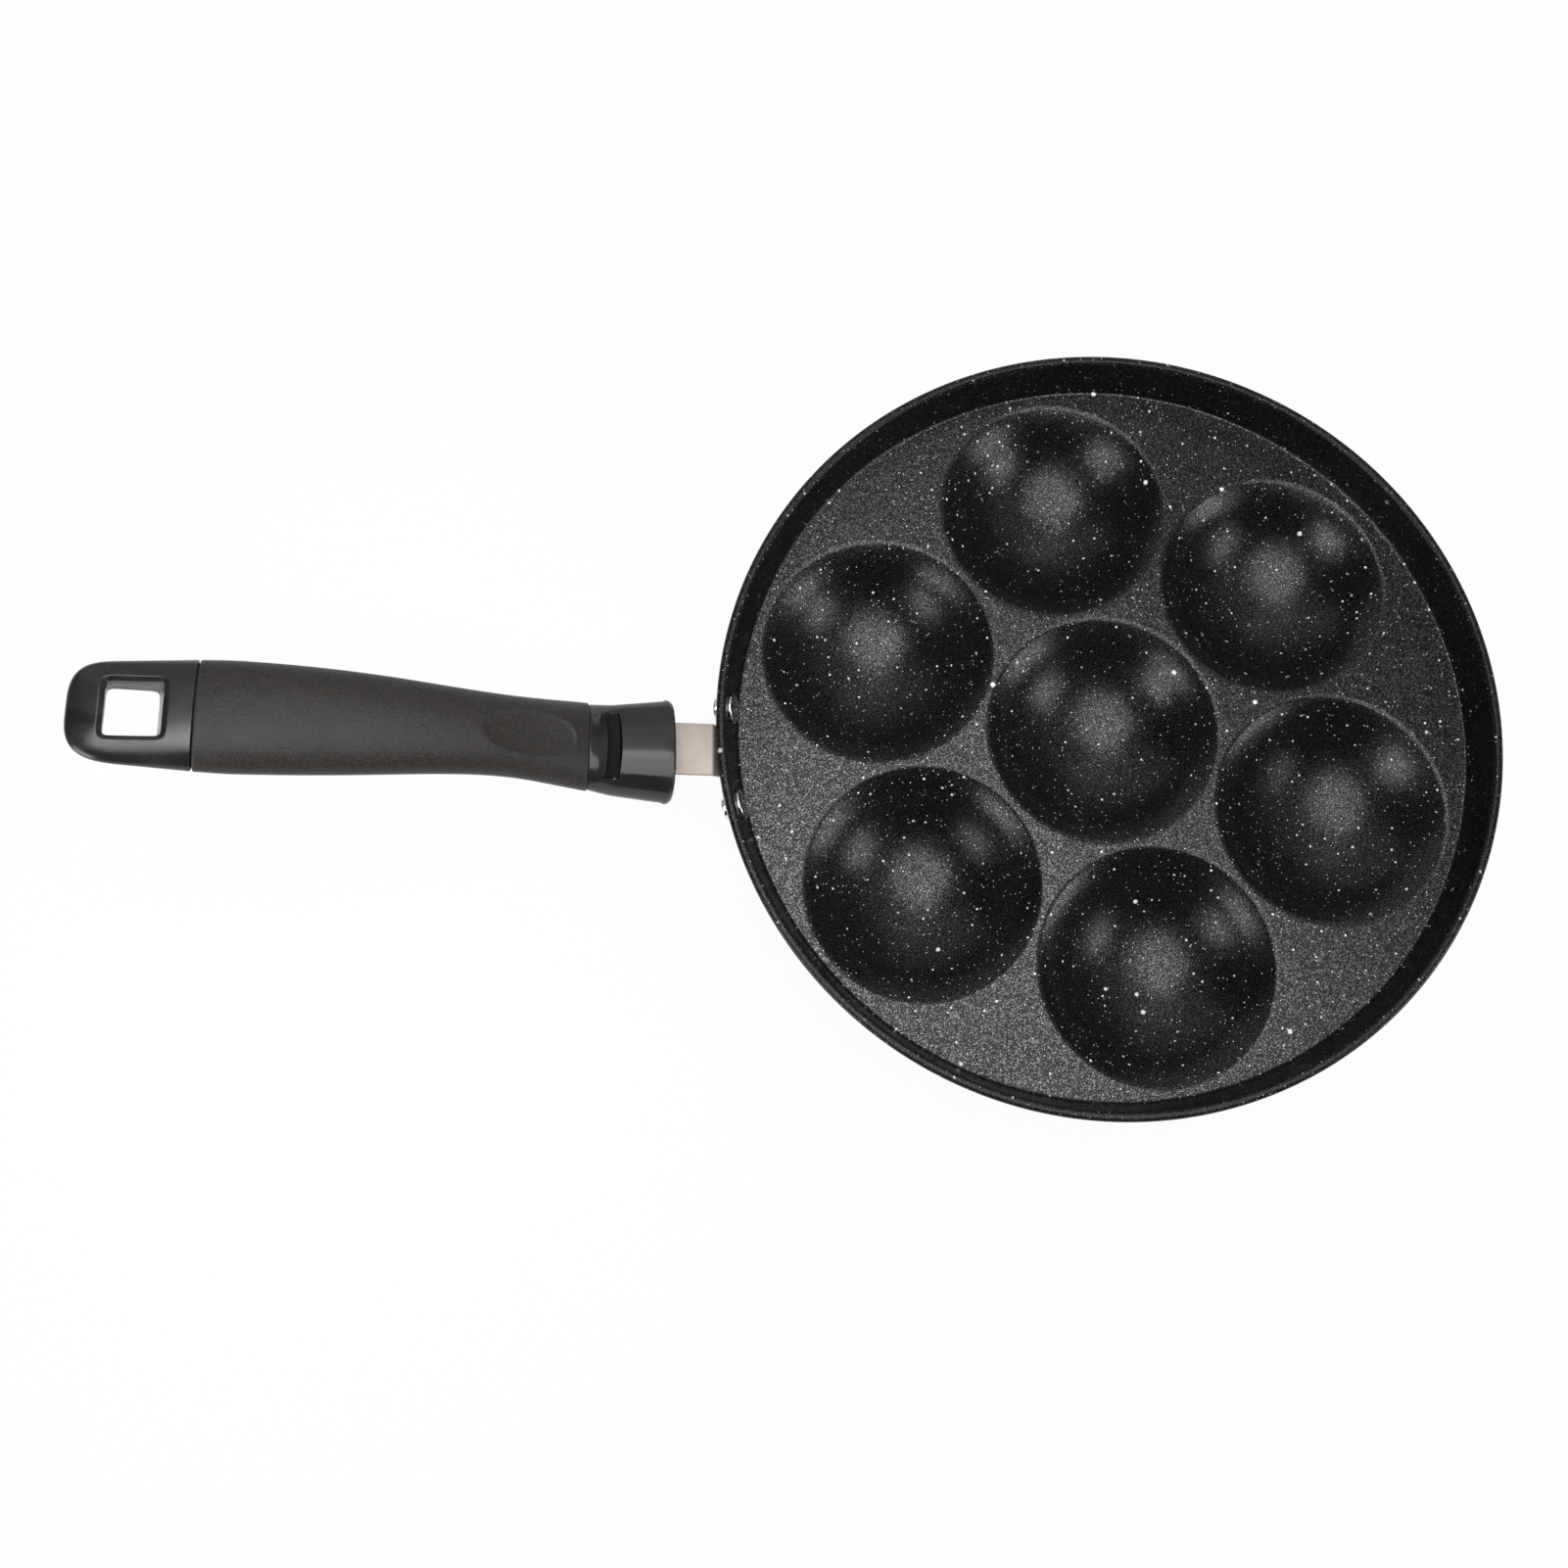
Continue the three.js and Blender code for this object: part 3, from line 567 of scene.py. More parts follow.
def core_plastic():
    material, tree, shader = new_finish("core_plastic")
    grain = effect(tree, FINE_GRAIN, Size=0.0008)
    paint(tree, shader, colour_mix(tree, grain, grey(0.010), grey(0.018)))
    dull(tree, shader, grain, 0.45, 0.58)
    bump(tree, shader, grain, 0.1, 0.00006)
    return material


# Pan body: a turned dish, with seven wells set into its floor

def inner_radius(height):
    return FLOOR_RADIUS + (height - FLOOR_TOP) * math.tan(FLARE)


def outer_radius(height):
    return inner_radius(height) + WALL


def dish_edge():
    """From the flat of the floor up the wall, over the rim and down to the flat underneath."""
    flare = math.degrees(FLARE)
    corner_middle = (FLOOR_RADIUS - CORNER_ROUND * ROUND_REACH, FLOOR_TOP + CORNER_ROUND)
    corner = arc(corner_middle, CORNER_ROUND, -90, -flare, 8)
    rim_level = RIM_HEIGHT - RIM_ROUND
    inner_middle = (inner_radius(RIM_HEIGHT) + RIM_ROUND * ROUND_REACH, rim_level)
    inner_rim = arc(inner_middle, RIM_ROUND, 180 - flare, 90, 6)
    outer_rim = arc((RIM_RADIUS - RIM_ROUND, rim_level), RIM_ROUND, 90, 0, 6)
    skirt = RIM_HEIGHT - RIM_SKIRT
    foot = outer_radius(FLOOR_UNDER)
    foot_top = FLOOR_UNDER + FOOT_ROUND
    foot_round = bend(
        (outer_radius(foot_top), foot_top), (foot, FLOOR_UNDER), (foot - FOOT_ROUND, FLOOR_UNDER), 10,
    )
    wall = spread(skirt, foot_top, 6)[:-1]
    return [
        (floor_edge(), FLOOR_TOP),
        *corner,
        *inner_rim,
        *outer_rim,
        *[(outer_radius(height), height) for height in wall],
        *foot_round,
        (under_edge(), FLOOR_UNDER),
    ]


def floor_edge():
    return FLOOR_RADIUS - CORNER_ROUND * ROUND_REACH - FLOOR_LAND


def under_edge():
    return outer_radius(FLOOR_UNDER) - FOOT_ROUND - OUTSIDE_LAND


def rolled(start, radius, from_slope, to_slope, steps):
    """An arc that goes on from a point while its slope changes."""
    points = []
    for slope in spread(from_slope, to_slope, steps)[1:]:
        across = radius * abs(math.sin(slope) - math.sin(from_slope))
        up = radius * abs(math.cos(slope) - math.cos(from_slope))
        points.append((start[0] + across, start[1] + up))
    return points


def hollow_profile():
    """From a well's lowest point: round bowl, flared band, then the lip into the floor."""
    steepest = math.asin(WELL_BOWL / BOWL_RADIUS)
    flare = (WELL_FLARE - WELL_BOWL) / (math.sin(steepest) - math.sin(LIP_SLOPE))
    lip = (WELL_MOUTH - WELL_FLARE) / math.sin(LIP_SLOPE)
    line = [(0, 0)]
    line += rolled(line[-1], BOWL_RADIUS, 0, steepest, 24)
    line += rolled(line[-1], flare, steepest, LIP_SLOPE, 8)
    line += rolled(line[-1], lip, LIP_SLOPE, 0, 8)
    depth = line[-1][1]
    line = [(radius, height + FLOOR_TOP - depth) for radius, height in line]
    return [*line, (WELL_MOUTH + WELL_LAND, FLOOR_TOP)]


def well_shell():
    """One well: its hollow, set a little off its middle, and its outside with the flat pad."""
    from_pad = math.degrees(math.asin((PAD_RADIUS + PAD_SLOPE) / OUTSIDE_RADIUS)) - 90
    to_floor = math.degrees(math.asin((FLOOR_UNDER - OUTSIDE_CENTRE) / OUTSIDE_RADIUS))
    bowl = arc((0, OUTSIDE_CENTRE), OUTSIDE_RADIUS, from_pad, to_floor, 12)
    pad = [(0, 0), (PAD_RADIUS / 2, 0), (PAD_RADIUS - PAD_EDGE, 0), (PAD_RADIUS, PAD_EDGE_LIFT)]
    outside = [*pad, *bowl, (bowl[-1][0] + OUTSIDE_LAND, FLOOR_UNDER)]
    hollow, faces = turned(hollow_profile(), WELL_SIDES)
    shifted = [(x + WELL_SHIFT, y + WELL_SHIFT, z) for x, y, z in hollow]
    return joined((shifted, faces), turned(outside, WELL_SIDES))


def well_tree():
    length = "NodeSocketFloat"
    tree, given, out = node_group(
        "wells_in_floor", "GeometryNodeTree",
        [
            ("Geometry", "NodeSocketGeometry", None),
            ("Well", "NodeSocketObject", None),
            ("Ring wells", "NodeSocketInt", 6),
            ("Pitch", length, 0.07),
            ("Ring turn", length, 0.0),
            ("Shift", length, 0.0),
            ("Mouth", length, 0.03),
            ("Foot", length, 0.03),
            ("Floor edge", length, 0.1),
            ("Under edge", length, 0.1),
            ("Floor top", length, 0.02),
            ("Floor under", length, 0.02),
            ("Finish", "NodeSocketMaterial", None),
        ],
        [("Geometry", "NodeSocketGeometry")],
    )
    ring = node(tree, "GeometryNodeMeshCircle", Vertices=given["Ring wells"], Radius=given["Pitch"])
    turn = node(tree, "ShaderNodeCombineXYZ", Z=given["Ring turn"])
    turned_ring = node(tree, "GeometryNodeTransform", Geometry=ring, Rotation=turn)
    middle = node(tree, "GeometryNodeMeshLine", Count=1)
    places = join_in_tree(tree, turned_ring, middle)
    well = node(tree, "GeometryNodeObjectInfo", Object=given["Well"])
    wells = on_places(tree, places, well.outputs["Geometry"])
    shift = node(tree, "ShaderNodeCombineXYZ", X=given["Shift"], Y=given["Shift"])
    mouths = node(tree, "GeometryNodeTransform", Geometry=places, Translation=shift)
    top = pierced_floor(tree, mouths, given["Mouth"], given["Floor edge"], given["Floor top"])
    under = pierced_floor(tree, places, given["Foot"], given["Under edge"], given["Floor under"])
    whole = join_in_tree(tree, given["Geometry"], wells, top, under)
    merged = node(tree, "GeometryNodeMergeByDistance", Geometry=whole, Distance=JOIN_DISTANCE * MM)
    plain = node(tree, "GeometryNodeRealizeInstances", Geometry=merged)
    coated = node(tree, "GeometryNodeSetMaterial", Geometry=plain, Material=given["Finish"])
    feed(out.inputs["Geometry"], coated)
    return tree


def join_in_tree(tree, *parts):
    made = tree.nodes.new("GeometryNodeJoinGeometry")
    for part in reversed(parts):
        feed(made.inputs[0], part)
    return made


def on_places(tree, places, shape):
    set_down = node(tree, "GeometryNodeInstanceOnPoints", Points=places, Instance=shape)
    return node(tree, "GeometryNodeRealizeInstances", Geometry=set_down)


def pierced_floor(tree, places, hole, edge, height):
    """A flat disc with a round hole at each place."""
    hole_ring = node(tree, "GeometryNodeCurvePrimitiveCircle", Resolution=WELL_SIDES, Radius=hole)
    edge_ring = node(tree, "GeometryNodeCurvePrimitiveCircle", Resolution=PAN_SIDES, Radius=edge)
    rings = join_in_tree(tree, edge_ring, on_places(tree, places, hole_ring))
    filled = node(tree, "GeometryNodeFillCurve", Curve=rings)
    lift = node(tree, "ShaderNodeCombineXYZ", Z=height)
    return node(tree, "GeometryNodeTransform", Geometry=filled, Translation=lift)


def set_inputs(modifier, **values):
    """Sets a tree's named inputs on its modifier by their identifiers."""
    for socket in modifier.node_group.interface.items_tree:
        name = socket.name.replace(" ", "_")
        if socket.in_out == "INPUT" and name in values:
            modifier[socket.identifier] = values[name]


def pan_body(finish):
    made = piece("coated_pan", turned(dish_edge(), PAN_SIDES), finish)
    well = piece("one_well", well_shell(), finish)
    foot = math.sqrt(OUTSIDE_RADIUS ** 2 - (FLOOR_UNDER - OUTSIDE_CENTRE) ** 2)
    modifier = made.modifiers.new("wells", "NODES")
    modifier.node_group = well_tree()
    set_inputs(
        modifier,
        Well=well,
        Ring_wells=RING_WELLS,
        Pitch=WELL_PITCH * MM,
        Ring_turn=WELL_RING_TURN,
        Shift=WELL_SHIFT * MM,
        Mouth=(WELL_MOUTH + WELL_LAND) * MM,
        Foot=(foot + OUTSIDE_LAND) * MM,
        Floor_edge=floor_edge() * MM,
        Under_edge=under_edge() * MM,
        Floor_top=FLOOR_TOP * MM,
        Floor_under=FLOOR_UNDER * MM,
        Finish=finish,
    )
    settle(made)
    bpy.data.objects.remove(well)
    mount(made, "pan_coating", "pan_body")


# Rivets: a flat, round-edged head inside the wall, a shank, and a tail spread over the bracket

def rivet_shape():
    """A rivet's outline from its head to its tail, turned about its axis through the middle of the wall."""
    seat = WALL * math.cos(FLARE) / 2
    tail_seat = seat + EAR_GAP + PLATE
    head_top = -seat - RIVET_HEAD_HEIGHT
    tail_top = tail_seat + GAP + RIVET_TAIL_HEIGHT
    half_way, flat_edge, corner = (head_top + fall for fall in RIVET_CROWN)
    edge_foot = head_top + RIVET_HEAD_EDGE
    head_edge = bend((RIVET_FLAT, flat_edge), (RIVET_HEAD, corner), (RIVET_HEAD, edge_foot), 12)
    tail = bend((RIVET_TAIL, tail_top - RIVET_TAIL_EDGE), (RIVET_TAIL, tail_top), (0, tail_top), 10)
    profile = [
        (0, head_top),
        (RIVET_FLAT / 2, half_way),
        *head_edge,
        (RIVET_HEAD - RIVET_HEAD_CHAMFER, -seat + SKIN_GAP),
        (RIVET_SHANK, -seat + SKIN_GAP),
        (RIVET_SHANK, tail_seat),
        (RIVET_TAIL - RIVET_TAIL_CHAMFER, tail_seat),
        *tail,
    ]
    return turned(profile, ROUND_SIDES)


def rivet_tree():
    length = "NodeSocketFloat"
    tree, given, out = node_group(
        "rivet_pair", "GeometryNodeTree",
        [
            ("Rivet", "NodeSocketObject", None),
            ("Half turn", length, 0.1),
            ("Radius", length, 0.1),
            ("Height", length, 0.03),
            ("Flare", length, 0.1),
            ("Finish", "NodeSocketMaterial", None),
        ],
        [("Geometry", "NodeSocketGeometry")],
    )
    pair = node(tree, "GeometryNodeMeshLine", Count=2)
    number = node(tree, "GeometryNodeInputIndex")
    side = between(tree, number, 0, 1, -1, 1)
    turn = sums(tree, "ADD", math.pi, sums(tree, "MULTIPLY", side, given["Half turn"]))
    away = sums(tree, "MULTIPLY", given["Radius"], sums(tree, "COSINE", turn))
    across = sums(tree, "MULTIPLY", given["Radius"], sums(tree, "SINE", turn))
    spot = node(tree, "ShaderNodeCombineXYZ", X=away, Y=across, Z=given["Height"])
    places = node(tree, "GeometryNodeSetPosition", Geometry=pair, Position=spot)
    tilt = sums(tree, "ADD", math.pi / 2, given["Flare"])
    stance = node(tree, "ShaderNodeCombineXYZ", Y=tilt, Z=turn)
    rivet = node(tree, "GeometryNodeObjectInfo", Object=given["Rivet"])
    set_down = node(
        tree, "GeometryNodeInstanceOnPoints",
        Points=places, Instance=rivet.outputs["Geometry"], Rotation=stance,
    )
    plain = node(tree, "GeometryNodeRealizeInstances", Geometry=set_down)
    polished = node(tree, "GeometryNodeSetMaterial", Geometry=plain, Material=given["Finish"])
    feed(out.inputs["Geometry"], polished)
    return tree


def rivets(finish):
    single = piece("one_rivet", rivet_shape(), finish)
    made = piece("rivets", ([], []), finish)
    modifier = made.modifiers.new("pair", "NODES")
    modifier.node_group = rivet_tree()
    set_inputs(
        modifier,
        Rivet=single,
        Half_turn=math.asin(RIVET_SPACING / 2 / outer_radius(RIVET_LEVEL)),
        Radius=(outer_radius(RIVET_LEVEL) - WALL / 2) * MM,
        Height=RIVET_LEVEL * MM,
        Flare=FLARE,
        Finish=finish,
    )
    settle(made)
    bpy.data.objects.remove(single)
    mount(made, "rivet_metal", "left_rivet", "right_rivet")


# The handle's line, rising from the strap's root, with t as the length along it

def slope_at(t):
    """Slope of the handle's line: the strap's, the steeper neck's, then easing off towards the tail's."""
    kneed = smooth_rise(t, KNEE - KNEE_RUN / 2, KNEE + KNEE_RUN / 2)
    neck = STRAP_SLOPE + (NECK_SLOPE - STRAP_SLOPE) * kneed
    past = max(0, t - NECK_END)
    return TAIL_SLOPE + (neck - TAIL_SLOPE) * math.exp(-past / EASE_LENGTH)


def lean_at(t):
    """How far a cross-section leans: square to the strap in the ferrule, square to the line in the grip."""
    eased = smooth_rise(t, GRIP_START, GRIP_START + LEAN_RUN)
    return STRAP_SLOPE + (slope_at(t) - STRAP_SLOPE) * eased


def walked_line():
    """The handle's line walked in small steps, as distance out and rise."""
    places = [(0.0, 0.0)]
    for i in range(int((TAIL_END + LINE_SPARE) / LINE_STEP)):
        slope = slope_at((i + 0.5) * LINE_STEP)
        out, rise = places[-1]
        places.append((out + LINE_STEP * math.cos(slope), rise + LINE_STEP * math.sin(slope)))
    return places


LINE = walked_line()


def line_at(t):
    whole = min(max(int(t / LINE_STEP), 0), len(LINE) - 2)
    share = t / LINE_STEP - whole
    (a, b), (c, d) = LINE[whole], LINE[whole + 1]
    return a + (c - a) * share, b + (d - b) * share


def on_pan(out, side, rise):
    """From the handle's own plane to the pan."""
    turn = math.pi - HANDLE_SKEW
    x = out * math.cos(turn) - side * math.sin(turn) - ROOT_RADIUS
    y = out * math.sin(turn) + side * math.cos(turn)
    return (x, y, rise + ROOT_HEIGHT)


def handle_point(t, side, lift):
    """A point of the leaning cross-section at t, by its side and lift from the handle's line."""
    out, rise = line_at(t)
    lean = lean_at(t)
    return on_pan(out - lift * math.sin(lean), side, rise + lift * math.cos(lean))


def fuller(value, power):
    """Fills out an oval's sine or cosine, the more the higher the power."""
    return math.copysign(abs(value) ** (2 / power), value)


def section_points(width, height, power=SECTION_POWER):
    """A full oval, squarer the higher its power, as points of side and lift."""
    points = []
    for i in range(SECTION_SIDES):
        turn = 2 * math.pi * i / SECTION_SIDES
        side = width / 2 * fuller(math.cos(turn), power)
        lift = height / 2 * fuller(math.sin(turn), power)
        points.append((side, lift))
    return points


def section(t, width, height):
    return [handle_point(t, side, lift) for side, lift in section_points(width, height)]


def rounded_end(end, inward, size_at):
    """Rings that round off a sleeve's edge: inward is 1 at its front and -1 at its rear."""
    rings = []
    for turn in spread(0, math.pi / 2, 3):
        t = end + inward * SEAM_ROUND * (1 - math.cos(turn))
        inset = 2 * SEAM_ROUND * (1 - math.sin(turn))
        width, height = size_at(t)
        rings.append(section(t, width - inset, height - inset))
    return rings if inward > 0 else rings[::-1]


def smooth_through(stations, values):
    """A smooth value along the handle through given stations."""
    last = len(stations) - 2

    def value_at(t):
        k = max(i for i in range(last + 1) if i == 0 or t >= stations[i])
        start, end = stations[k], stations[k + 1]
        half = (end - start) / 2
        before = values[k - 1] if k > 0 else values[k + 1]
        after = values[k + 2] if k < last else values[k]
        pull_before = half / (start - stations[k - 1]) if k > 0 else -0.5
        pull_after = half / (stations[k + 2] - end) if k < last else -0.5
        p = (t - start) / (end - start)
        leaving = (1 + pull_before) * p ** 3 - (1.5 + 2 * pull_before) * p ** 2
        leaving += (pull_before - 0.5) * p + 1
        coming = (1.5 + pull_after) * p ** 2 - (1 + pull_after) * p ** 3 + 0.5 * p
        return (
            before * pull_before * (2 * p ** 2 - p ** 3 - p)
            + values[k] * leaving
            + values[k + 1] * coming
            + after * pull_after * (p ** 3 - p ** 2)
        )
    return value_at


# Bracket: an ear plate on the wall, bent over into the strap

def plate_ring(half_height, thickness):
    """Cross-section of the steel: a flat bar with rounded edges."""
    corner = min(PLATE_ROUND, half_height * PLATE_ROUND_SHARE)
    points = []
    for turn_start, out, up in ((0, 1, 1), (90, -1, 1), (180, -1, -1), (270, 1, -1)):
        middle = (out * (thickness / 2 - corner), up * (half_height - corner))
        points += arc(middle, corner, turn_start, turn_start + 90, 3)
    return points


def ear():
    rings = []
    straight = EAR_WIDTH / 2 - EAR_CORNER
    tip = EAR_WIDTH / 2 - EAR_TIP
    for side in spread(-tip, tip, 64):
        past = max(0, abs(side) - straight)
        half = EAR_HEIGHT / 2 - EAR_CORNER + math.sqrt(max(EAR_CORNER ** 2 - past ** 2, 0))
        ring = []
        for depth, up in plate_ring(half, PLATE):
            height = RIVET_LEVEL - EAR_DROP + up
            radius = outer_radius(height) + (EAR_GAP + PLATE / 2 + depth) / math.cos(FLARE)
            ring.append((-math.sqrt(radius ** 2 - side ** 2), side, height))
        rings.append(ring)
    return lofted(rings)


def strap_line():
    """Middle of the steel, as distance out and rise: up the wall, leaning out, then bent into the strap."""
    offset = (EAR_GAP + PLATE / 2) / math.cos(FLARE)

    def wall(rise):
        return (outer_radius(ROOT_HEIGHT + rise) + offset - ROOT_RADIUS, rise)

    def toward(start, end, length):
        share = length / math.hypot(end[0] - start[0], end[1] - start[1])
        return tuple(a + (b - a) * share for a, b in zip(start, end))

    foot = wall(STRAP_FOOT)
    corner = (STRAP_CORNER, STRAP_CORNER * math.tan(STRAP_SLOPE))
    tip = (STRAP_END * math.cos(STRAP_SLOPE), STRAP_END * math.sin(STRAP_SLOPE))
    line = [wall(rise) for rise in spread(STRAP_BOTTOM, STRAP_FOOT - FOOT_LEAD, 4)]
    line += bend(wall(STRAP_FOOT - FOOT_BEND), foot, toward(foot, corner, FOOT_BEND), 6)
    line += bend(toward(corner, foot, CORNER_BEND), corner, toward(corner, tip, CORNER_BEND), 8)
    line += [toward(corner, tip, length) for length in spread(CORNER_LEAD, STRAP_END - STRAP_CORNER, 12)]
    return line


def strap():
    """The steel along its line, straight to the pan at its foot and turned to the handle above."""
    line = strap_line()
    rings = []
    for i, (out, rise) in enumerate(line):
        before, after = line[max(i - 1, 0)], line[min(i + 1, len(line) - 1)]
        slope = math.atan2(after[1] - before[1], after[0] - before[0])
        skewed = smooth_rise(out, *SKEW_RUN)
        ring = []
        for depth, side in plate_ring(STRAP_WIDTH / 2, PLATE - SKIN_GAP):
            far = out - depth * math.sin(slope)
            high = rise + depth * math.cos(slope)
            x, y, z = on_pan(far, side - STRAP_SHIFT, high)
            straight_x = -ROOT_RADIUS - far
            straight_y = STRAP_SHIFT - side
            ring.append((x if skewed > 0 else straight_x, straight_y + (y - straight_y) * skewed, z))
        rings.append(ring)
    return lofted(rings)


def bracket(finish):
    made = piece("bracket", joined(ear(), strap()), finish)
    mount(made, "strap_steel", "handle_bracket")


# Ferrule: the flared collar, with a notch across its top

FERRULE_FRONT = (31.4, 18.6)
FERRULE_REAR = (25.3, 14.2)
FERRULE_ROUND = 2.4
FERRULE_EDGE = 0.7
NOTCH_LENGTH = 4.2
NOTCH_WIDTH = 19.4
NOTCH_DEPTH = 3.2
NOTCH_BOW = 0.7
NOTCH_WALL = (-0.2, 0.1)
NOTCH_FRONT = KNEE - NOTCH_LENGTH / 2
NOTCH_REAR = KNEE + NOTCH_LENGTH / 2
# How far below the notch's floor the painted shade reaches.
NOTCH_SHADE_MARGIN = 0.5
BOW_START = (FERRULE_START + 5, KNEE - 3)
BOW_END = (KNEE + 2.5, GRIP_START - 1)
COLLAR_TIP = math.tan(math.radians(8))
COLLAR_TIP_RISE = 3
COLLAR_TIP_END = 4
SLOT_DEPTH = 6
SLOT_POWER = 12
WASHER_RADIUS = 4.1
SCREW_SEAT = 1.8


def ferrule_size(t):
    share = (t - FERRULE_START) / (GRIP_START - FERRULE_START)
    return tuple(front + (rear - front) * share for front, rear in zip(FERRULE_FRONT, FERRULE_REAR))


def notch_floor():
    return ferrule_size(KNEE)[1] / 2 - NOTCH_DEPTH


def notched(t, side, lift):
    """Lowers a point of the ferrule's skin to the notch's floor where the notch is."""
    floor = notch_floor()
    if lift < floor:
        return lift
    along = abs(t - KNEE) - NOTCH_LENGTH / 2
    across = abs(side) - NOTCH_WIDTH / 2
    share = 1 - smooth_rise(max(along, across), *NOTCH_WALL)
    return lift + (floor - lift) * share


def notch_bow(side):
    """How far the notch bows towards the pan across the collar's top."""
    return NOTCH_BOW * max(0, 1 - (2 * side / NOTCH_WIDTH) ** 2)


def tipped(t, side, lift):
    """Tips the collar's top a little to one side, up to where it meets the grip."""
    half = ferrule_size(t)[0] / 2
    across = side * max(0, 1 - (side / half) ** 2)
    ends = 1 - smooth_rise(t, GRIP_START - COLLAR_TIP_END, GRIP_START)
    return lift + COLLAR_TIP * across * smooth_rise(lift, 0, COLLAR_TIP_RISE) * ends


def collar_point(t, side, lift):
    """A point of the collar's skin, with its top tipped a little and its rings bowed at the notch."""
    if lift < 0:
        return handle_point(t, side, lift)
    near_notch = smooth_rise(t, *BOW_START) * (1 - smooth_rise(t, *BOW_END))
    bowed = t - notch_bow(side) * near_notch
    return handle_point(bowed, side, notched(t, side, tipped(t, side, lift)))


def collar_front(turn):
    """One ring of the rounded front: a crisp edge on top and underneath, fuller corners at the sides."""
    width, height = ferrule_size(FERRULE_START)
    ring = []
    for side, lift in section_points(width, height):
        rounding = FERRULE_EDGE + (FERRULE_ROUND - FERRULE_EDGE) * abs(2 * side / width) ** 3
        inset = rounding * (1 - math.sin(turn))
        t = FERRULE_START + rounding * (1 - math.cos(turn))
        lift = tipped(FERRULE_START, side, lift)
        ring.append(handle_point(t, side * (1 - 2 * inset / width), lift * (1 - 2 * inset / height)))
    return ring


def collar_stations(rear):
    """Where the collar's rings stand: closely at the notch's two walls, and wider apart between."""
    end_room, outward, inward = 0.8, 0.1, 0.3
    front = FERRULE_START + FERRULE_ROUND + end_room
    return [
        *spread(front, NOTCH_FRONT - 4 * outward, 14),
        *spread(NOTCH_FRONT - outward, NOTCH_FRONT + inward, 4),
        *spread(NOTCH_FRONT + 2 * inward, NOTCH_REAR - 2 * inward, 8),
        *spread(NOTCH_REAR - inward, NOTCH_REAR + outward, 4),
        *spread(NOTCH_REAR + 5 * outward, rear - end_room, 6),
    ]


def ferrule(finish, notch_finish):
    slot_ring = section_points(STRAP_WIDTH + 2 * GAP, STEEL + 2 * GAP, SLOT_POWER)
    rings = []
    for t in (FERRULE_START + SLOT_DEPTH, FERRULE_START):
        rings.append([handle_point(t, side - STRAP_SHIFT, lift) for side, lift in slot_ring])
    rings += [collar_front(turn) for turn in spread(0, math.pi / 2, 9)]
    rear = GRIP_START - SEAM_GAP
    for t in collar_stations(rear):
        skin = section_points(*ferrule_size(t))
        rings.append([collar_point(t, side, lift) for side, lift in skin])
    rings += rounded_end(rear, -1, ferrule_size)
    made = piece("ferrule_collar", lofted(rings), finish)
    cut_away(made, screw_room())
    # The notch gets its painted shade, a near-black matte finish.
    paint_notch_shade(made, notch_finish)
    mount(made, "gloss_black", "ferrule")


def paint_notch_shade(made, finish):
    """Gives the notch's floor and walls a near-black matte finish, painted shade that darkens the recess.
    """
    made.data.materials.append(finish)
    middle = Vector(handle_point(KNEE, 0, 0)) * MM
    up = (Vector(handle_point(KNEE, 0, 1)) * MM - middle).normalized()
    across = (Vector(handle_point(KNEE, 1, 0)) * MM - middle).normalized()
    along = up.cross(across)
    along *= math.copysign(1, along.dot(Vector(handle_point(KNEE + 1, 0, 0)) * MM - middle))
    for face in made.data.polygons:
        offset = face.center - middle
        on_top = offset.dot(up) / MM > notch_floor() - NOTCH_SHADE_MARGIN
        side = offset.dot(across) / MM
        place = offset.dot(along) / MM + notch_bow(side)
        inside = abs(place) < NOTCH_LENGTH / 2 and abs(side) < NOTCH_WIDTH / 2
        if on_top and inside:
            face.material_index = 1


def standing(shape, t):
    """Stands an upright shape square on the handle's line."""
    points, faces = shape
    out, rise = line_at(t)
    lean = lean_at(t)
    moved = []
    for x, y, z in points:
        far = out + x * math.cos(lean) - z * math.sin(lean)
        high = rise + x * math.sin(lean) + z * math.cos(lean)
        moved.append(on_pan(far, y, high))
    return moved, faces


def screw_room():
    """The round recess under the ferrule that takes the screw's head and the washer."""
    seat = -STEEL / 2 - GAP - SCREW_SEAT
    wide = WASHER_RADIUS + GAP
    low = -FERRULE_FRONT[1]
    profile = [(0, low), (wide, low), (wide, seat), (0, seat)]
    return standing(turned(profile, ROUND_SIDES), SCREW_PLACE)


# Grip: the soft sleeve, with its oval thumb rest

GRIP_WAIST = GRIP_START + 24.6
GRIP_WIDEST = CAP_START - 10
GRIP_STATIONS = (GRIP_START, GRIP_WAIST, GRIP_WIDEST, CAP_START)
GRIP_HEIGHTS = (15.2, 13.4, 14.2, 12.6)
GRIP_WIDTHS = (26.1, 23.5, 30.7, 30.1)
GRIP_SWELL = 0.8
GRIP_RINGS = 240
GRIP_EDGE = 1
THUMB_PLACE = GRIP_START + 21.5
THUMB_DEPTH = 1.4
THUMB_LENS = (55.5, 37.0, 11.2)
THUMB_STEP = 0.25
THUMB_STEP_RUN = 0.3
THUMB_SOFT = 0.05
grip_height = smooth_through(GRIP_STATIONS, GRIP_HEIGHTS)
grip_line = smooth_through(GRIP_STATIONS, GRIP_WIDTHS)


def grip_width(t):
    """The width through the stations, a little fuller between waist and rear."""
    share = min(max((t - GRIP_WAIST) / (GRIP_WIDEST - GRIP_WAIST), 0), 1)
    return grip_line(t) + GRIP_SWELL * math.sin(math.pi * share) ** 2


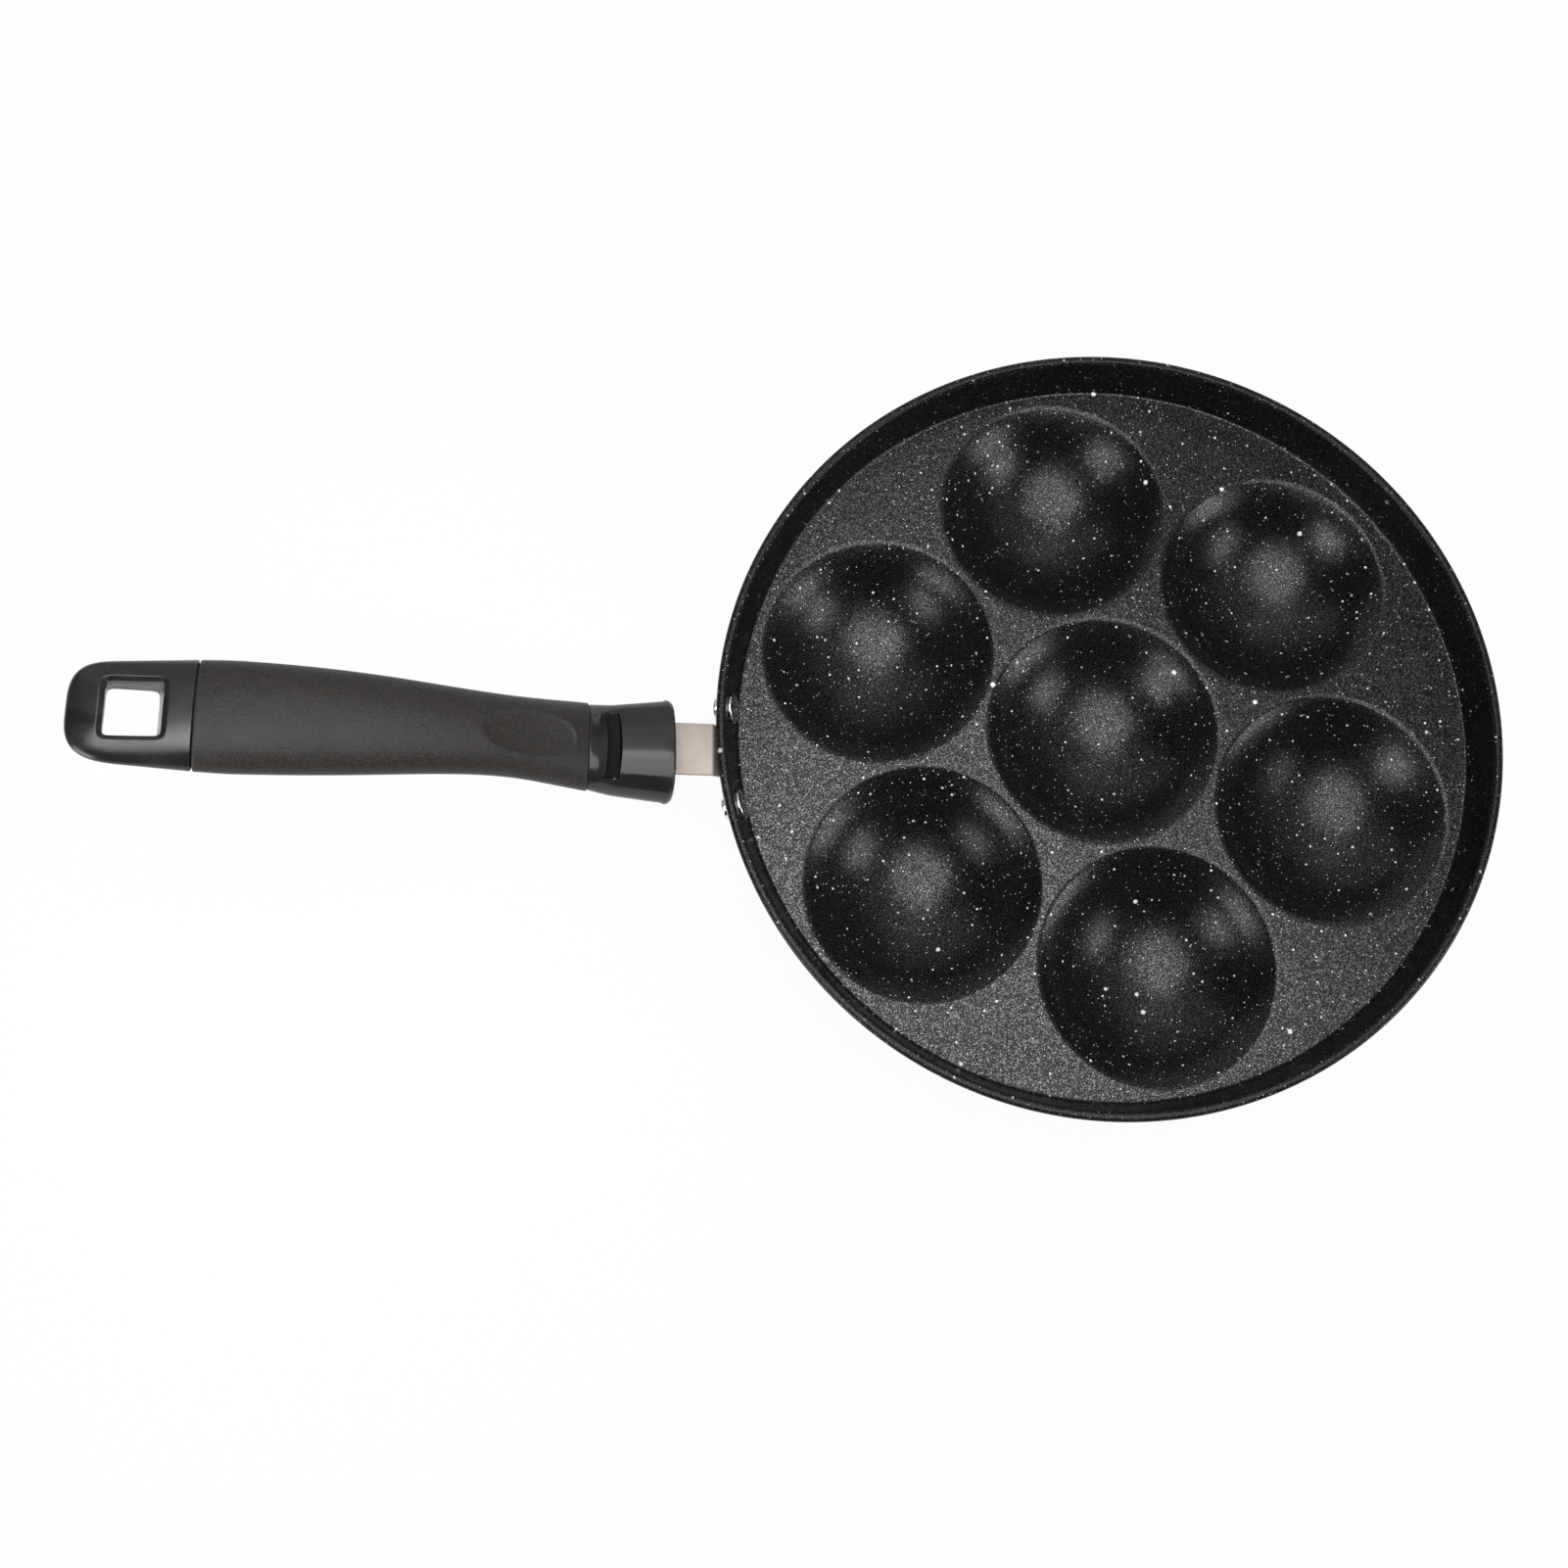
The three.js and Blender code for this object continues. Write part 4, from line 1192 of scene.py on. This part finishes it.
def thumbed(t, side, lift):
    """Sinks a point of the grip's skin to the thumb rest where that is lower."""
    if lift < 0:
        return lift
    (out, rise), (out_0, rise_0) = line_at(t), line_at(THUMB_PLACE)
    lean, lean_0 = lean_at(t), lean_at(THUMB_PLACE)
    far = out - lift * math.sin(lean) - out_0
    high = rise + lift * math.cos(lean) - rise_0
    along = far * math.cos(lean_0) + high * math.sin(lean_0)
    level = high * math.cos(lean_0) - far * math.sin(lean_0)
    half_length, half_width, half_height = (size / 2 for size in THUMB_LENS)
    inside = 1 - (along / half_length) ** 2 - (side / half_width) ** 2
    if inside <= 0:
        return lift
    middle = grip_height(THUMB_PLACE) / 2 + half_height - THUMB_DEPTH
    over = level - (middle - half_height * math.sqrt(inside))
    sunk = (over + math.sqrt(over * over + THUMB_SOFT * THUMB_SOFT)) / 2
    return lift - sunk - THUMB_STEP * smooth_rise(over, 0, THUMB_STEP_RUN)


def grip_size(t):
    return grip_width(t), grip_height(t)


def grip(finish):
    rear = CAP_START - SEAM_GAP
    rings = rounded_end(GRIP_START, 1, grip_size)
    for t in spread(GRIP_START + GRIP_EDGE, rear - GRIP_EDGE, GRIP_RINGS):
        skin = section_points(*grip_size(t))
        rings.append([handle_point(t, side, thumbed(t, side, lift)) for side, lift in skin])
    rings += rounded_end(rear, -1, grip_size)
    made = piece("grip_skin", lofted(rings), finish)
    mount(made, "soft_grip", "grip_sleeve")


# End cap: the tail, with a square hanging hole and a sunk lip around it

CAP_WIDTHS = (30.1, 25.8)
CAP_HEIGHTS = (11.8, 8.4, 7.0)
CAP_FRONT = CAP_START + SEAM_ROUND
CAP_FACE_TAPER = 0.96
CAP_STEPS = 26
CAP_FRONT_STEPS = 30
TAIL_CURVES = ((15.0, 3.2), (12.5, 3.5))
HOLE_TOP_MIDDLE = (HOLE_PLACE - 0.9, -0.5)
HOLE_TOP = (14.0, 14.6)
HOLE_BELOW_MIDDLE = (HOLE_PLACE + 0.5, 0.1)
HOLE_BELOW = (12.7, 14.2)
HOLE_POWER = 13
LIP_POWER = 8.5
HOLE_BELOW_POWER = 10
LIP_BORDER = 1.2
LIP_DEPTH = 0.75
HOLE_BELOW_EDGE = ((0.1, 0.1), (0.0, 0.3))
HOLE_BELOW_ROUND = 0.4
HOLE_BELOW_LAND = 0.35
HOLE_EDGE = ((0.0, -0.25), (0.06, -0.06), (0.2, 0.04))
LIP_EDGE = ((-0.32, -0.22), (-0.14, -0.10), (0.06, -0.03))
LIP_CROWN = 0.26
LIP_CROWN_FALL = 0.005
LIP_LAND = 0.5
cap_height = smooth_through((CAP_START, HOLE_PLACE, TAIL_END), CAP_HEIGHTS)


def cap_width(t):
    share = (t - CAP_START) / (TAIL_END - CAP_START)
    return CAP_WIDTHS[0] + (CAP_WIDTHS[1] - CAP_WIDTHS[0]) * share


def cap_side(rounding, power):
    """One side of the cap's outline, from its front corner to the middle of its tail."""
    straight_end = TAIL_END - rounding
    line = [(t, cap_width(t) / 2) for t in spread(CAP_FRONT, straight_end, CAP_STEPS)]
    for turn in spread(0, math.pi / 2, CAP_STEPS)[1:]:
        along = math.sin(turn)
        t = straight_end + rounding * along
        line.append((t, cap_width(t) / 2 * (1 - along ** power) ** (1 / power)))
    return line


def cap_outline():
    """Points round the cap: back along one side, forward along the other, then across the front."""
    near, far = (cap_side(*curve) for curve in TAIL_CURVES)
    half = near[0][1]
    front = [(CAP_FRONT, across) for across in spread(-half, half, CAP_FRONT_STEPS)[1:-1]]
    return near + [(t, -across) for t, across in reversed(far[:-1])] + front


def on_front(point):
    return point[0] < CAP_FRONT + JOIN_DISTANCE


CAP_OUTLINE = cap_outline()
CAP_EDGE = [point for point in CAP_OUTLINE if not on_front(point)]


def cap_top(t, side):
    """Half the cap's thickness, falling off towards its edge."""
    half = cap_width(t) / 2
    inward = min(half - abs(side), min(math.hypot(t - a, side - b) for a, b in CAP_EDGE))
    short = max(0, 1 - max(inward, 0) / half)
    return cap_height(t) / 2 * (1 - short ** SECTION_POWER) ** (1 / SECTION_POWER)


def square_reach(direction, size, power, border=0):
    """How far a round-cornered square of this length and width reaches from its middle in a direction."""
    along, across = direction
    half_length, half_width = (side / 2 + border for side in size)
    return ((abs(along) / half_length) ** power + (abs(across) / half_width) ** power) ** (-1 / power)


def cap_ray(edge):
    """One closed loop of points from the hole over the top to an outline point and back underneath."""
    middle_t, middle_side = HOLE_TOP_MIDDLE
    reach = math.hypot(edge[0] - middle_t, edge[1] - middle_side)
    direction = ((edge[0] - middle_t) / reach, (edge[1] - middle_side) / reach)
    hole = square_reach(direction, HOLE_TOP, HOLE_POWER)
    lip = square_reach(direction, HOLE_TOP, LIP_POWER, LIP_BORDER)
    mouth = square_reach(direction, HOLE_BELOW, HOLE_BELOW_POWER)

    def at(distance, lift=None):
        t = middle_t + direction[0] * distance
        side = middle_side + direction[1] * distance
        return (t, side, cap_top(t, side) if lift is None else lift)

    def below(distance, lift=None):
        t = HOLE_BELOW_MIDDLE[0] + direction[0] * distance
        side = HOLE_BELOW_MIDDLE[1] + direction[1] * distance
        return (t, side, -cap_top(t, side) if lift is None else lift)

    crest = at(lip)[2]
    sunk = crest - LIP_DEPTH
    under = below(mouth + HOLE_BELOW_ROUND)[2]
    crown = at(lip + LIP_CROWN)[2] - LIP_CROWN_FALL
    loop = [below(mouth + out, under + rise) for out, rise in HOLE_BELOW_EDGE]
    loop += [at(hole + out, sunk + rise) for out, rise in HOLE_EDGE]
    loop += [at(lip + out, crest + rise) for out, rise in LIP_EDGE]
    loop.append(at(lip + LIP_CROWN, crown))
    start = lip + LIP_LAND
    fall = [math.sin(share * math.pi / 2) for share in spread(0, 1, 22)]
    loop += [at(start + (reach - start) * share) for share in fall]
    face = at(reach)[2] - SEAM_ROUND
    if on_front(edge) and face > 0:
        face_side = edge[1] * CAP_FACE_TAPER
        loop += [(CAP_START, face_side, face), (CAP_START, face_side, -face)]
    else:
        loop += [at(reach, 0.0), at(reach, 0.0)]
    last = below(mouth + HOLE_BELOW_LAND)
    for share in reversed(fall):
        t = last[0] + (edge[0] - last[0]) * share
        side = last[1] + (edge[1] - last[1]) * share
        loop.append((t, side, -cap_top(t, side)))
    return loop


def end_cap(finish):
    rings = [[handle_point(*point) for point in cap_ray(edge)] for edge in CAP_OUTLINE]
    points = [point for ring in rings for point in ring]
    faces = strips(len(rings), len(rings[0]), closed=True)
    made = piece("cap_tail", (points, faces), finish)
    mount(made, "gloss_black", "end_cap")


# Screw and washer under the ferrule

SCREW_HEAD = 3.8
SCREW_HEAD_HEIGHT = 2.2
SCREW_HEAD_EDGE = 0.7
SCREW_SHANK = 2.0
SCREW_POINT = (2.0, 4.0)
CROSS_LENGTH = 4.2
CROSS_WIDTH = 0.9
CROSS_DEPTH = 1.3
CUT_SPARE = 1
WASHER_HEIGHT = 0.9
WASHER_BORE = 2.3
WASHER_EDGE = 0.15


def screw(finish):
    top = -STEEL / 2 - SCREW_SEAT - WASHER_HEIGHT - 3 * GAP
    bottom = top - SCREW_HEAD_HEIGHT
    point_start, point_end = SCREW_POINT
    profile = [
        *bend((0, bottom), (SCREW_HEAD, bottom), (SCREW_HEAD, top - SCREW_HEAD_EDGE), 8),
        (SCREW_HEAD, top),
        (SCREW_SHANK, top),
        (SCREW_SHANK, point_start),
        (0, point_end),
    ]
    made = piece("clamp_screw", standing(turned(profile, SCREW_SIDES), SCREW_PLACE), finish)
    for length, width in ((CROSS_LENGTH, CROSS_WIDTH), (CROSS_WIDTH, CROSS_LENGTH)):
        slot = upright_block(length, width, bottom - CUT_SPARE, bottom + CROSS_DEPTH)
        cut_away(made, standing(slot, SCREW_PLACE))
    mount(made, "screw_steel", "tang_screw")


def upright_block(length, width, low, high):
    corners = ((-1, -1), (1, -1), (1, 1), (-1, 1))
    rings = [[(length / 2 * a, width / 2 * b, z) for a, b in corners] for z in (low, high)]
    return lofted(rings)


def washer(finish):
    high = -STEEL / 2 - SCREW_SEAT - 2 * GAP
    low = high - WASHER_HEIGHT
    foot, crown = low + WASHER_EDGE, high - WASHER_EDGE
    inner, outer = WASHER_BORE + WASHER_EDGE, WASHER_RADIUS - WASHER_EDGE
    profile = [
        (WASHER_BORE, foot), (inner, low), (outer, low), (WASHER_RADIUS, foot),
        (WASHER_RADIUS, crown), (outer, high), (inner, high), (WASHER_BORE, crown), (WASHER_BORE, foot),
    ]
    made = piece("washer_ring", standing(turned(profile, SCREW_SIDES), SCREW_PLACE), finish)
    mount(made, "screw_steel", "lock_washer")


# Studio: white floor, soft lamps and the camera

def white_floor():
    """A white floor that keeps a little of the object's shadow."""
    half = 4.0
    corners = [(-half, -half, 0), (half, -half, 0), (half, half, 0), (-half, half, 0)]
    mesh = bpy.data.meshes.new("floor")
    mesh.from_pydata(corners, [], [(0, 1, 2, 3)])
    floor = bpy.data.objects.new("floor", mesh)
    bpy.context.scene.collection.objects.link(floor)
    material, tree, shader = new_finish("white_floor", shine=0.0)
    shader.inputs["Base Color"].default_value = grey(0.90)
    shader.inputs["Roughness"].default_value = 0.9
    glow = node(tree, "ShaderNodeEmission", Color=grey(1.0), Strength=1.0)
    path = node(tree, "ShaderNodeLightPath")
    seen = sums(tree, "MAXIMUM", path.outputs["Is Camera Ray"], path.outputs["Is Glossy Ray"])
    seen = sums(tree, "MAXIMUM", seen, path.outputs["Is Transmission Ray"])
    glow_share = 0.95
    mixed = node(tree, "ShaderNodeMixShader")
    feed(mixed.inputs[0], sums(tree, "MULTIPLY", seen, glow_share))
    feed(mixed.inputs[1], shader)
    feed(mixed.inputs[2], glow)
    feed(tree.nodes["Material Output"].inputs["Surface"], mixed)
    mesh.materials.append(material)


def room_light():
    """A dim room that is white to the camera, and low down to glossy surfaces too."""
    horizon = (0.03, 0.10)
    dim = 0.03
    world = bpy.data.worlds.new("studio")
    bpy.context.scene.world = world
    world.use_nodes = True
    tree = world.node_tree
    ground = tree.nodes["Background"]
    path = node(tree, "ShaderNodeLightPath")
    place = node(tree, "ShaderNodeTexCoord")
    direction = node(tree, "ShaderNodeSeparateXYZ", Vector=place.outputs["Generated"])
    low = between(tree, direction.outputs["Z"], *horizon, 1.0, 0.0, smooth=True)
    mirrored = sums(tree, "MAXIMUM", path.outputs["Is Glossy Ray"], path.outputs["Is Transmission Ray"])
    seen = sums(tree, "MAXIMUM", path.outputs["Is Camera Ray"], sums(tree, "MULTIPLY", mirrored, low))
    strength = between(tree, seen, 0, 1, dim, 1.0)
    ground.inputs["Color"].default_value = grey(1.0)
    feed(ground.inputs["Strength"], strength)


def soft_lamp(name, shape, target, direction, distance, size, brightness, spread_angle=180):
    """A soft lamp that faces a point from a direction, as bright as a surface of that whiteness."""
    width, height = size
    data = bpy.data.lights.new(name, "AREA")
    data.shape = shape
    data.size = width
    data.size_y = height
    data.spread = math.radians(spread_angle)
    face = width * height * (math.pi / 4 if shape == "ELLIPSE" else 1)
    data.energy = brightness * math.pi * face
    turn, lift = (math.radians(angle) for angle in direction)
    away = Vector((math.cos(turn) * math.cos(lift), math.sin(turn) * math.cos(lift), math.sin(lift)))
    lamp = bpy.data.objects.new(name, data)
    lamp.location = target + away * distance
    lamp.rotation_euler = (-away).to_track_quat("-Z", "Y").to_euler()
    bpy.context.scene.collection.objects.link(lamp)


def lamps():
    """Each lamp's turn and height in degrees, distance, size, brightness and, for two, a narrower beam."""
    pan = Vector((0, 0, 0.02))
    tail = Vector((-0.252, 0.010, 0.095))
    soft_lamp("top_softbox", "ELLIPSE", pan, (-88, 82), 0.62, (0.58, 0.66), 2.8)
    soft_lamp("right_softbox", "RECTANGLE", pan, (-31, 18), 0.95, (0.44, 0.50), 4.1)
    soft_lamp("left_softbox", "RECTANGLE", pan, (-150, 15), 0.95, (0.44, 0.54), 4.7)
    soft_lamp("back_bounce", "RECTANGLE", pan, (95, 34), 1.3, (2.0, 1.3), 0.48)
    soft_lamp("ceiling_glow", "ELLIPSE", pan, (30, 62), 1.5, (2.4, 2.4), 0.33)
    soft_lamp("tail_softbox", "RECTANGLE", tail, (-118, 79), 0.5, (0.24, 0.36), 0.36, 44)
    soft_lamp("handle_glow", "RECTANGLE", tail, (73, 71), 0.6, (0.5, 0.5), 0.05, 34)


def photo_camera():
    data = bpy.data.cameras.new("camera")
    data.sensor_width = 36
    data.lens = 36.38
    data.shift_x = -0.0792
    data.shift_y = -0.0490
    data.clip_start = 0.01
    camera = bpy.data.objects.new("camera", data)
    camera.location = (-0.10063, -0.11838, 0.49919)
    camera.rotation_euler = tuple(math.radians(angle) for angle in (15.79, -2.986, -6.561))
    bpy.context.scene.collection.objects.link(camera)
    bpy.context.scene.camera = camera


bpy.context.scene.view_settings.view_transform = "Standard"
photo_camera()
white_floor()
room_light()
lamps()

steel_zinc = screw_zinc()
gloss_black = moulded_black("gloss_black", 0.12, 0.20, 0.0)
scuffed_black = moulded_black("scuffed_black", 0.20, 0.32, 0.5)
pan_body(speckled_coating())
rivets(rivet_aluminium())
bracket(satin_steel())
ferrule(gloss_black, notch_matte())
grip(soft_touch_grip())
end_cap(scuffed_black)
screw(steel_zinc)
washer(steel_zinc)
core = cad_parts["handle_core"]
core.data.materials.clear()
core.data.materials.append(core_plastic())
